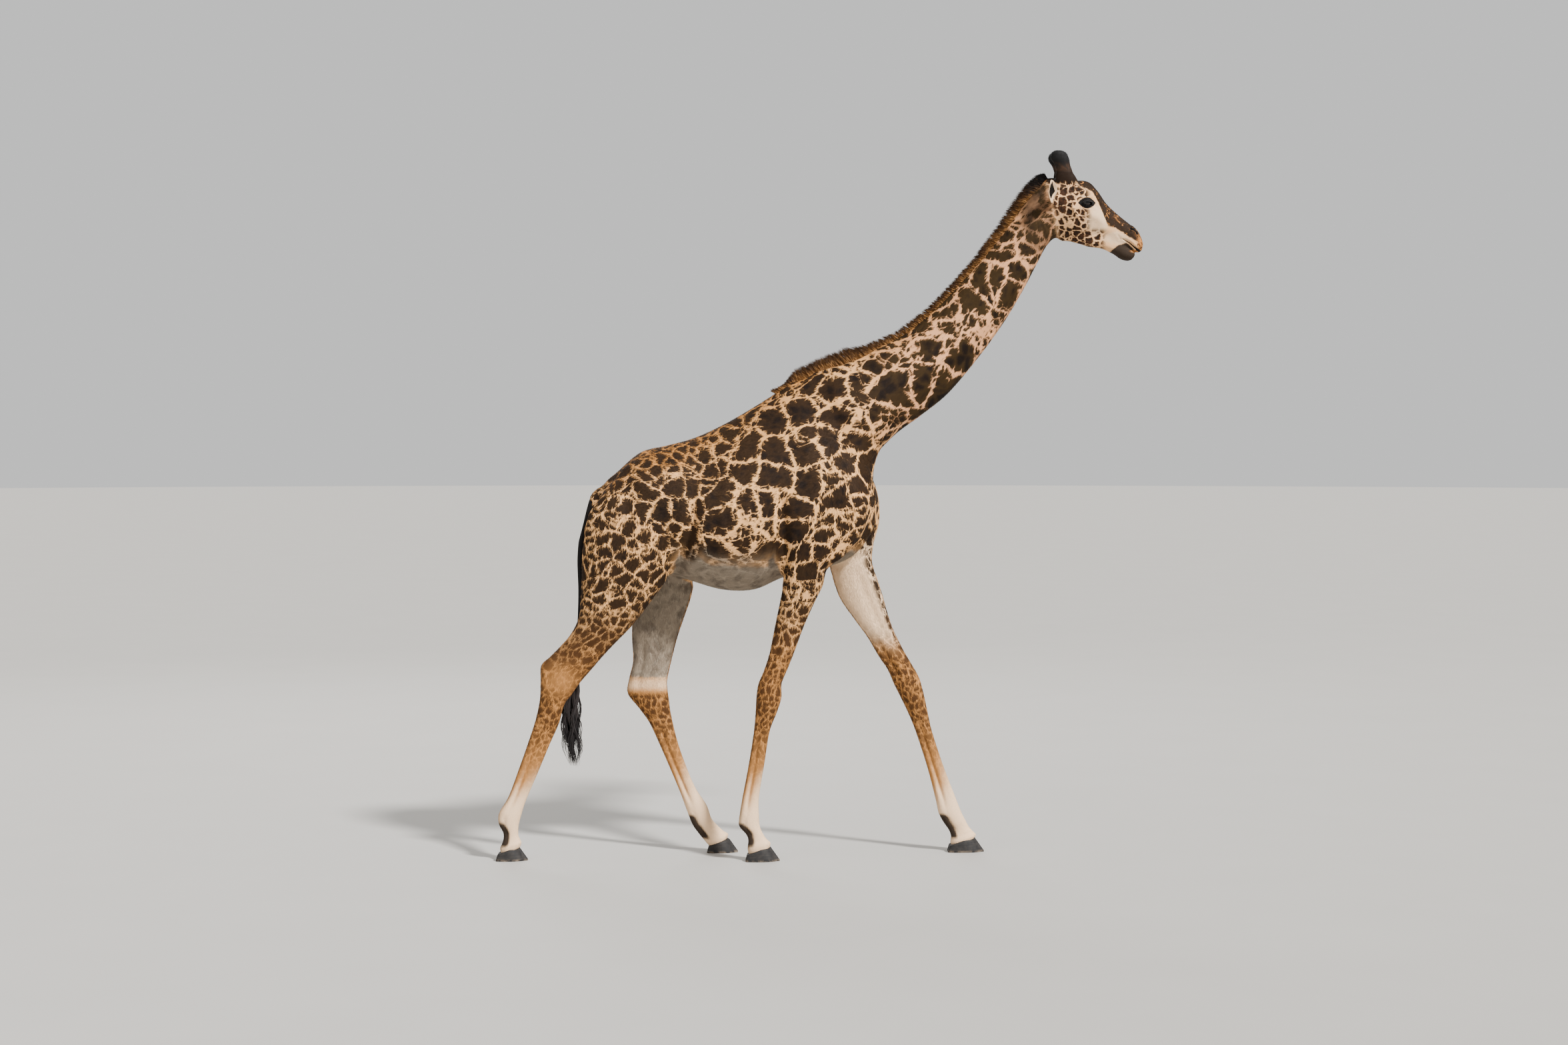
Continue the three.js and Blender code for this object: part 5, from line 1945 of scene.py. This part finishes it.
# ---- mane and tail
@dataclass(frozen=True)
class Mane:
    """The standing mane: bristles along the crest of the neck, as long as the frame's mane is high."""

    crest: Path = (
        (-0.235, 2.525), (-0.185, 2.57), (-0.11, 2.64), (0.015, 2.685), (0.13, 2.7), (0.26, 2.755),
        (0.42, 2.835), (0.61, 2.975), (0.745, 3.118), (0.875, 3.27), (0.983, 3.412), (1.082, 3.55),
        (1.15, 3.64), (1.2, 3.69), (1.232, 3.705),
    )
    bristles: int = 9000
    spread: float = 0.017
    lean: float = 0.35
    seed: int = 5
    limits: Pair = (0.03, 0.14)  # the shortest and the longest bristles
    outside: float = 0.3  # how far out from its root a ray to the frame's mane starts
    missed: float = 0.045  # the length where that ray hits nothing

    def build(self, ground: Ground) -> Object:
        """Grows the mane.

        Args:
            ground: The skin.

        Returns:
            The mane.
        """
        chance = np.random.default_rng(self.seed)
        places = np.sort(chance.random(self.bristles)) * (len(self.crest) - 1)
        crest = spline(np.array(self.crest), places)
        y = chance.normal(0.0, 0.42, self.bristles).clip(-1, 1) * self.spread
        roots = ground.under(np.stack([crest[:, 0], y, crest[:, 1]], axis=1))
        up = roots.normals * (1, 0.5, 1)
        lumps = np.sin(places * 37.0) * 0.1 + np.sin(places * 91.0 + 1.3) * 0.06
        lean = self.lean + lumps[:, None] + chance.normal(0.0, 0.12, (self.bristles, 1))
        way = unit(up + roots.lie * lean)
        way[:, 1] = way[:, 1] * 0.6 + chance.normal(0.0, 0.07, self.bristles)
        way = unit(way)
        reach = self.reach(roots.points, way)
        length = reach * (0.72 + 0.3 * chance.random(self.bristles)) * (1 - 0.16 * (y / self.spread) ** 2)
        share = np.array([0.0, 0.45, 0.78, 1.0])
        bend = roots.lie * (0.1 * length)[:, None]
        start = roots.points - way * 0.004
        spines = start[:, None] + way[:, None] * (length[:, None] * share)[..., None]
        spines = spines + bend[:, None] * (share**2)[None, :, None]
        widths = 0.0016 * (0.7 + 0.6 * chance.random(self.bristles))[:, None] * np.array([1.0, 1.0, 0.7])
        tilt = chance.random(self.bristles) * np.pi
        return Locks(roots, spines, widths, thick=0.8, own=0.8, tilt=tilt).build("mane_bristles")

    def reach(self, points: Array, ways: Array) -> Array:
        """How far it is from each root to the outside of the frame's mane.

        Args:
            points: (n, 3) roots.
            ways: (n, 3) directions out of them.

        Returns:
            (n,) distances.
        """
        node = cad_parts["mane"].data
        node.calc_loop_triangles()
        faces = [tuple(t.vertices) for t in node.loop_triangles]
        tree = BVHTree.FromPolygons([v.co for v in node.vertices], faces)
        found = []
        for point, way in zip(points, ways):
            far = Vector(point + way * self.outside)
            hit = tree.ray_cast(far, Vector(-way), self.outside)
            found.append(self.missed if hit[0] is None else self.outside - hit[3])
        return np.clip(np.array(found), *self.limits)


@dataclass(frozen=True)
class Tail:
    """The long dark locks that hang from the end of the tail."""

    sections: Sections = cuts(
        (-1.346, 1.15, -1.308, 1.15, 0.014), (-1.352, 1.058, -1.312, 1.054, 0.018),
        (-1.366, 0.965, -1.316, 0.957, 0.025), (-1.394, 0.85, -1.316, 0.842, 0.033),
        (-1.406, 0.73, -1.312, 0.722, 0.036), (-1.398, 0.6, -1.306, 0.59, 0.03),
        (-1.372, 0.495, -1.318, 0.485, 0.016),
    )
    locks: int = 420
    rings: int = 14
    seed: int = 8

    def build(self, ground: Ground) -> Object:
        """Grows the tuft.

        Args:
            ground: The skin.

        Returns:
            The tuft.
        """
        chance = np.random.default_rng(self.seed)
        rows = np.array([section.numbers() for section in self.sections])
        n = self.locks
        begin = chance.random(n) ** 1.5 * 1.9
        end = len(rows) - 1 - chance.random(n) ** 1.4 * 2.6
        share = np.linspace(0, 1, self.rings + 1)
        places = begin[:, None] + (end - begin)[:, None] * share
        rings = spline(rows, places.ravel()).reshape(n, -1, rows.shape[1])
        low_x, low_z, high_x, high_z, half, *_ = np.moveaxis(rings, 2, 0)
        turn = chance.random((n, 1)) * 2 * np.pi
        out = np.sqrt(chance.random((n, 1))) * 0.9
        bunch = np.round(turn * 1.6) * 2.3
        wave = 0.1 * np.sin(share * (11 + 8 * chance.random((n, 1))) + turn * 3) * share
        wave = wave + 0.38 * np.sin(places * 2.4 + bunch) * fade(places, 1.0, 3.5)
        a = np.cos(turn) * out + wave
        b = np.sin(turn) * out + wave * 0.7
        x = (low_x + high_x) / 2 + a * (high_x - low_x) / 2
        z = (low_z + high_z) / 2 + a * (high_z - low_z) / 2
        spines = np.stack([x, b * half, z], axis=-1)
        roots = ground.under(spines[:, 0])
        widths = (0.0024 + 0.0026 * chance.random((n, 1))) * (1 - share[:-1] ** 3)
        side = unit(np.stack([np.cos(turn[:, 0]), np.sin(turn[:, 0]), 0 * turn[:, 0]], axis=1))
        roots = replace(roots, normals=side)
        return Locks(roots, spines, widths, thick=0.7, own=0.8).build("tail_locks")


# ---- eyes, horns and hooves
@dataclass(frozen=True)
class Horn:
    """One ossicone: a haired stump with a rounded knob, wider at its root."""

    sections: Sections = cuts(
        (1.285, 3.685, 1.36, 3.68, 0.026, 0.054), (1.276, 3.715, 1.371, 3.708, 0.03, 0.056),
        (1.271, 3.742, 1.364, 3.736, 0.03, 0.058), (1.262, 3.769, 1.354, 3.763, 0.03, 0.061),
        (1.243, 3.799, 1.347, 3.797, 0.036, 0.063), (1.246, 3.827, 1.332, 3.827, 0.034, 0.064),
        (1.266, 3.842, 1.306, 3.842, 0.018, 0.064),
    )
    tufts: int = 5000
    spikes: int = 260
    short: float = 0.007  # the length of a tuft
    long: float = 0.011  # the length of a spike
    haired: float = 3.715  # how high its hair begins
    knob: Pair = (3.79, 3.82)  # where the spikes begin
    top: float = 3.8425  # as high as any hair goes

    def build(self, side: Side) -> tuple[Object, Object]:
        """Makes one ossicone.

        Args:
            side: Which side it is on.

        Returns:
            Its skin and its hair.
        """
        plot = Plot(0.7 if side is Side.LEFT else 0.8, 0.26, 0.08, 0.15)
        skin = Loft(f"horn_{side.word}", on_side(self.sections, side), plot, 72, 0.003, 2.0).grid().build()
        put_attribute(skin.data, "root", places_of(skin.data))
        ground = Ground(skin, {})
        chance = np.random.default_rng(31 + side.value)
        z = ground.points[:, 2]
        short = ground.sow(self.tufts, (z > self.haired) * 1.0, chance)
        long = ground.sow(self.spikes, fade(z, *self.knob), chance)
        tall = np.repeat([self.short, self.long], [self.tufts, self.spikes])
        both = Roots(*(np.concatenate(pair) for pair in zip(short.parts(), long.parts())), zones={})
        count = len(both.points)
        way = unit(both.lie + both.normals * np.where(tall > self.short, 1.2, 0.25)[:, None])
        way = unit(way + chance.normal(0.0, 0.2, (count, 3)))
        reach = tall * (0.6 + 0.7 * chance.random(count))
        room = np.maximum(self.top - both.points[:, 2], 0.002) / np.maximum(way[:, 2], 0.05)
        reach = np.minimum(reach, room)
        start = both.points - both.normals * 0.0006
        spines = np.stack([start, start + way * reach[:, None]], axis=1)
        widths = 0.0009 * (0.7 + 0.6 * chance.random(count))
        return skin, Locks(both, spines, widths[:, None], own=0.5).build(f"horn_hair_{side.word}")


@dataclass(frozen=True)
class Claw:
    """One claw of a cloven hoof: straight inside, round outside, narrowest at the toe."""

    wide: float = 0.057
    split: float = 0.007
    heel_slope: float = 0.3
    toe_slope: float = 0.72
    taper: float = 0.14
    rise: float = 0.3
    sides: int = 72
    heel_top: float = 0.033
    levels: Path = (  # how far up each ring is, and how wide there
        (0.0, 0.9), (0.0, 0.955), (0.03, 0.985), (0.08, 1.0), (0.3, 1.0), (0.55, 1.0), (0.8, 1.0),
        (1.0, 0.995), (1.06, 0.95), (1.1, 0.86),
    )

    def build(self, name: str, node: str, track: float) -> Object:
        """Makes one claw where the frame's is.

        Args:
            name: The piece's name.
            node: The frame's claw.
            track: Its foot's place to the side.

        Returns:
            The claw.
        """
        low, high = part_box(node)
        outward = 1.0 if (low.y + high.y) / 2 > track else -1.0
        heel, toe = low.x, high.x
        share = np.linspace(0, 1, 61)
        bulge = np.sqrt(np.maximum(0.05, 1 - np.abs(1.75 * share - 0.62) ** 2.6)) * (1 - 0.25 * share**3)
        loop_share = np.concatenate([share, share[::-1]])
        loop_bulge = np.concatenate([bulge, np.zeros(61)])
        rings = []
        slope = self.heel_slope + self.toe_slope
        for level, shrink in self.levels:
            top = (self.heel_top + self.rise * loop_share * (toe - heel)) * level
            z = top / (1 - self.rise * level * (self.heel_slope - slope * loop_share))
            x = heel + z * self.heel_slope + (toe - heel - z * slope) * loop_share
            y = track + outward * (self.split / 2 + (self.wide - z * self.taper) * loop_bulge)
            ring = self.rounded(np.stack([x, y, z], axis=1))
            middle = ring.mean(axis=0)
            ring[:, :2] = middle[:2] + (ring[:, :2] - middle[:2]) * shrink
            rings.append(ring)
        grid = Grid(name, np.array(rings), np.zeros((len(rings), self.sides, 3)), Plot(0, 0, 1, 1))
        return grid.build()

    def rounded(self, ring: Array) -> Array:
        """Spaces an outline out evenly and rounds its corners.

        Args:
            ring: (n, 3) points.

        Returns:
            (sides, 3) points.
        """
        closed = np.concatenate([ring, ring[:1]])
        run = np.concatenate([[0], np.cumsum(np.linalg.norm(np.diff(closed, axis=0), axis=1))])
        spots = np.linspace(0, run[-1], self.sides, endpoint=False)
        even = np.stack([np.interp(spots, run, closed[:, k]) for k in range(3)], axis=1)
        for _ in range(3):
            even = (np.roll(even, 1, axis=0) + 2 * even + np.roll(even, -1, axis=0)) / 4
        return even


@dataclass(frozen=True)
class Lashes:
    """The long lashes of both lids, curving out and down from the upper one."""

    orbit: Orbit = Orbit()
    upper: int = 110
    lower: int = 50
    seed: int = 3

    def build(self, ground: Ground, side: Side) -> Object:
        """Makes one eye's lashes.

        Args:
            ground: The skin.
            side: Which eye.

        Returns:
            The lashes.
        """
        chance = np.random.default_rng(self.seed + side.value)
        count = self.upper + self.lower
        top = np.linspace(0.1, 0.93, self.upper) * np.pi
        under = -np.linspace(0.2, 0.85, self.lower) * np.pi
        turn = np.concatenate([top, under]) + chance.normal(0, 0.02, count)
        is_top = np.arange(count) < self.upper
        length = np.where(is_top, 0.02, 0.01) * (0.75 + 0.4 * chance.random(count))
        base = self.orbit.rim(side, turn, 1.06)
        ahead, up, out = self.orbit.eye.axes(side)
        fan = (np.cos(turn) + chance.normal(0, 0.12, count))[:, None] * ahead
        sink = np.where(is_top, -0.1, -0.45)[:, None] * up
        way = unit(out * 0.9 + fan * 0.55 + sink)
        share = np.linspace(0, 1, 5)
        drop = np.where(is_top, -0.45, 0.25)[:, None, None] * up * (share**2)[None, :, None]
        spines = base[:, None] + (way[:, None] * share[None, :, None] + drop) * length[:, None, None]
        roots = replace(ground.under(base), normals=np.broadcast_to(out, (count, 3)).copy())
        widths = 0.00075 * np.array([1.0, 1.0, 0.9, 0.6])[None] * np.ones((count, 1))
        return Locks(roots, spines, widths, thick=0.8, own=0.7).build(f"lashes_{side.word}")


# ---- other finishes
@dataclass(frozen=True)
class HairFinish:
    """Long hair whose colour runs from its root to its tip."""

    name: str
    root: Colour
    tip: Colour
    turn: float = 0.6  # how far along the hair the colour has turned

    def material(self) -> Material:
        """Builds the hair's material.

        Returns:
            The material.
        """
        g = Graph(self.name)
        root = g.stored_place("root")
        lot = g.noise(root, 420.0, 0.0)
        patch = g.noise(root, 24.0, 2.0)
        share = (g.stored("tip") + (lot - 0.5) * 0.7).ramp(self.turn - 0.25, self.turn + 0.25)
        colour = g.mix(share, self.root, self.tip)
        tone = (lot - 0.5) * 0.7 + (patch - 0.5) * 0.8 + 1.0
        shade = g.toned(colour, tone)
        return g.finish(Base_Color=shade, Roughness=0.55, Specular_IOR_Level=0.3)


@dataclass(frozen=True)
class ManeFinish:
    """Bristles that go from gold at the root to dark tips, and to black behind the ears."""

    gold: Colour = (0.3, 0.135, 0.038)
    brown: Colour = (0.06, 0.026, 0.01)
    black: Colour = (0.012, 0.009, 0.008)

    def material(self) -> Material:
        """Builds the mane's material.

        Returns:
            The material.
        """
        g = Graph("mane_bristle")
        root = g.stored_place("root")
        lot = g.noise(root, 520.0, 0.0)
        patch = g.noise(root, 16.0, 2.0)
        ahead = root.part(0)
        share = g.stored("tip") + (lot - 0.5) * 0.6 + (patch - 0.5) * 0.9
        colour = g.mix(share.ramp(0.3, 0.75), self.gold, self.brown)
        colour = g.mix((ahead + (lot - 0.5) * 0.15).ramp(1.13, 1.21), colour, self.black)
        shade = g.toned(colour, (lot - 0.5) * 0.9 + 1.0)
        return g.finish(Base_Color=shade, Roughness=0.6, Specular_IOR_Level=0.2)


@dataclass(frozen=True)
class HornFinish:
    """The horns' short hair: spotted brown at the root, black on the knob."""

    root: Colour = (0.016, 0.0075, 0.0035)
    brown: Colour = (0.045, 0.021, 0.01)
    dark: Colour = (0.024, 0.013, 0.007)
    black: Colour = (0.008, 0.007, 0.007)

    def material(self) -> Material:
        """Builds the horn's material.

        Returns:
            The material.
        """
        g = Graph("horn_hair")
        root = g.stored_place("root")
        height = root.part(2)
        cloud = g.noise(root, 45.0, 2.0)
        spread = (cloud - 0.5) * 0.03
        colour = g.mix(cloud.ramp(0.42, 0.58), self.brown, self.dark)
        colour = g.mix((height + spread * 1.5).ramp(3.712, 3.742), self.root, colour)
        colour = g.mix((height + spread).ramp(3.745, 3.785), colour, self.black)
        fine = g.noise(root, 600.0, 1.0)
        shade = g.toned(colour, (fine - 0.5) * 0.9 + 1.0)
        normal = g.bump(fine, 0.4, 0.0015)
        return g.finish(Base_Color=shade, Roughness=0.65, Specular_IOR_Level=0.2, Normal=normal)


@dataclass(frozen=True)
class EyeFinish:
    """A nearly black eye with a brown iris, a flat pupil and a wet shine."""

    iris: Colour = (0.01, 0.005, 0.003)
    rim: Colour = (0.004, 0.003, 0.003)
    white: Colour = (0.015, 0.01, 0.008)

    def material(self) -> Material:
        """Builds the eye's material.

        Returns:
            The material.
        """
        g = Graph("eye_wet")
        look = g.stored_place("look")
        across, up = look.part(0), look.part(1)
        far = (across * across + up * up).math("SQRT")
        pupil = ((across * 2.1) * (across * 2.1) + (up * 5.0) * (up * 5.0)).math("SQRT")
        fibres = g.noise(look.scaled(14.0), 1.0, 2.0)
        iris = g.mix(fibres.ramp(0.3, 0.7), self.iris, tuple(c * 1.9 for c in self.iris))
        iris = g.mix(pupil.ramp(1.12, 0.9), iris, self.rim)
        iris = g.mix(far.ramp(0.56, 0.66), iris, self.rim)
        ball = g.mix(far.ramp(0.68, 0.8), iris, self.white)
        wet = {"Roughness": 0.1, "Specular_IOR_Level": 0.25, "Coat_Weight": 0.25, "Coat_Roughness": 0.03}
        return g.finish(Base_Color=ball, **wet)


@dataclass(frozen=True)
class HoofFinish:
    """Dusty dark horn with growth rings."""

    dark: Colour = (0.01, 0.009, 0.009)
    pale: Colour = (0.028, 0.024, 0.021)
    dust: Colour = (0.26, 0.19, 0.13)

    def material(self) -> Material:
        """Builds the hoof's material.

        Returns:
            The material.
        """
        g = Graph("hoof_horn")
        place = g.node("TexCoord", None, None, out="Object")
        height = place.part(2)
        cloud = g.noise(place, 35.0, 3.0)
        rings = g.noise(place.scaled((9.0, 9.0, 210.0)), 1.0, 2.0)
        colour = g.mix((rings * 0.35 + cloud * 0.65).ramp(0.35, 0.7), self.dark, self.pale)
        dust = height.ramp(0.016, 0.0) * cloud.ramp(0.4, 0.65) * 0.6
        colour = g.mix(dust, colour, self.dust)
        normal = g.bump(rings * 0.5 + g.noise(place, 260.0, 2.0) * 0.5, 0.35, 0.0012)
        rough = 0.55 + cloud * 0.2
        return g.finish(Base_Color=colour, Roughness=rough, Specular_IOR_Level=0.25, Normal=normal)


# ---- studio
@dataclass(frozen=True)
class Studio:
    """A pale floor, soft light and the camera."""

    camera_place: Point = (-0.196, -15.0, 2.37)
    camera_pitch: float = 2.07
    lens: float = 63.2
    sensor: float = 36.0
    floor_radius: float = 90.0
    floor_tone: Colour = (0.42, 0.4, 0.37)
    sky_tone: Colour = (0.9, 0.905, 0.9)
    sky: float = 0.85
    sun_place: Point = (6.5, -7.0, 8.5)
    sun: float = 7.4
    sun_angle: float = 0.12
    lamps: tuple[tuple[str, Point, Point, float, float], ...] = (
        ("fill", (-8.0, -9.0, 5.0), (0.0, 0.0, 1.6), 6.0, 250.0),
        ("back", (-3.0, 9.0, 8.0), (0.0, 0.0, 2.0), 5.0, 500.0),
    )

    def build(self) -> None:
        """Sets up the floor, the lamps, the sky and the camera."""
        self.floor()
        for name, place, target, size, power in self.lamps:
            light = bpy.data.lights.new(name, "AREA")
            light.shape = "DISK"
            light.size = size
            light.energy = power
            lamp = link(name, light)
            lamp.location = place
            lamp.rotation_euler = (Vector(target) - Vector(place)).to_track_quat("-Z", "Y").to_euler()
        light = bpy.data.lights.new("key", "SUN")
        light.energy, light.angle = self.sun, self.sun_angle
        lamp = link("key", light)
        lamp.rotation_euler = Vector(self.sun_place).to_track_quat("Z", "Y").to_euler()
        world = bpy.data.worlds.new("studio")
        world.use_nodes = True
        sky = world.node_tree.nodes["Background"]
        sky.inputs["Color"].default_value = (*self.sky_tone, 1.0)
        sky.inputs["Strength"].default_value = self.sky
        bpy.context.scene.world = world
        data = bpy.data.cameras.new("camera")
        data.lens, data.sensor_width = self.lens, self.sensor
        data.clip_end = 400.0
        camera = link("camera", data)
        camera.location = self.camera_place
        camera.rotation_euler = (math.radians(90.0 - self.camera_pitch), 0.0, 0.0)
        bpy.context.scene.camera = camera

    def floor(self) -> None:
        """Lays a round floor under everything."""
        turn = np.linspace(0, 2 * np.pi, 97)[:-1]
        points = np.stack([np.cos(turn), np.sin(turn), np.zeros(96)], axis=1) * self.floor_radius
        mesh = mesh_of("floor", points, [np.arange(96)[None]])
        floor = link("floor", mesh)
        g = Graph("floor_paint")
        place = g.node("TexCoord", None, None, out="Object")
        tone = (g.noise(place, 1.5, 3.0) - 0.5) * 0.06 + 1.0
        paint = g.toned(self.floor_tone, tone)
        mesh.materials.append(g.finish(Base_Color=paint, Roughness=0.8))


# ---- the whole animal
class Slot(Enum):
    """The record's finishes."""

    BODY = "coat_body"
    LEG = "coat_leg"
    FACE = "coat_face"
    MANE = "mane_hair"
    TAIL = "tail_hair"
    HORN = "ossicone_hair"
    HOOF = "hoof"
    EYE = "eye"


FLESH = (
    "head", "lower_jaw", "neck", "trunk", "tail", "ear_left", "ear_right",
    *(f"leg_{leg.name}_{part}" for leg in LEGS for part in ("upper", "lower")),
)


def place(piece: Object, slot: Slot, material: Material, *nodes: str) -> None:
    """Dresses a piece and fixes it to the frame.

    Args:
        piece: The piece.
        slot: The record's finish that it takes; not used.
        material: Its material.
        nodes: The frame's nodes that it stands for.
    """
    piece.data.materials.clear()
    piece.data.materials.append(material)
    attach(piece, "root")
    if nodes:
        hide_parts(*nodes)
    log.info("%s: %d faces", piece.name, len(piece.data.polygons))


NAPE = (1.235, 3.6)  # where the head begins, in the side view
FACING = (0.974, 0.224)  # the way ahead from there


def head_share(points: Array) -> Array:
    """How much of each place belongs to the head, past a slanting line behind the ears and the jaw.

    Args:
        points: (n, 3) places on the skin.

    Returns:
        (n,) numbers from 0 to 1.
    """
    x, y, z = points.T
    ahead = (x - NAPE[0]) * FACING[0] + (z - NAPE[1]) * FACING[1]
    on_ear = (np.abs(y) > 0.085) & (z > 3.53)
    return fade(np.where(on_ear, 0.1, ahead), -0.02, 0.025) * (z > HEAD_FLOOR)


def main() -> None:
    """Builds the giraffe, piece by piece."""
    for name in ("Cube", "Light", "Camera"):
        if name in bpy.data.objects:
            bpy.data.objects.remove(bpy.data.objects[name])
    Studio().build()
    skin = Skin().build()
    points, normals = places_of(skin.data), normals_of(skin.data)
    zones = Zones().of(points, normals, head_share(points), attribute_of(skin.data, "limb"))
    put_attribute(skin.data, "root", points)
    for zone, values in zones.items():
        put_attribute(skin.data, zone, values)
    coat = CoatFinish().material()
    ground = Ground(skin, zones)
    place(skin, Slot.BODY, coat, *FLESH)
    for name, piece in Coat().build(ground).items():
        slot = Slot.FACE if "head" in name else Slot.LEG if "leg" in name else Slot.BODY
        place(piece, slot, coat)
    lash = HairFinish("lash_hair", (0.012, 0.009, 0.008), (0.01, 0.008, 0.007)).material()
    tail = HairFinish("tail_hair", (0.016, 0.011, 0.01), (0.01, 0.008, 0.008)).material()
    place(Mane().build(ground), Slot.MANE, ManeFinish().material(), "mane")
    place(Tail().build(ground), Slot.TAIL, tail, "tail_tuft")
    wet, horn, knob = EyeFinish().material(), HoofFinish().material(), HornFinish().material()
    for side in Side:
        place(Eye().build(side), Slot.EYE, wet, f"eye_{side.word}")
        place(Lashes().build(ground, side), Slot.TAIL, lash)
        stump, hair = Horn().build(side)
        place(stump, Slot.HORN, knob, f"ossicone_{side.word}")
        place(hair, Slot.HORN, knob)
    for leg in LEGS:
        for claw in ("inner", "outer"):
            node = f"hoof_{leg.name}_{claw}"
            made = Claw().build(f"claw_{leg.name}_{claw}", node, leg.track * leg.side.value)
            place(made, Slot.HOOF, horn, node)


if __name__ == "__main__":
    logging.basicConfig(level=logging.INFO, format="%(name)s: %(message)s")
    main()
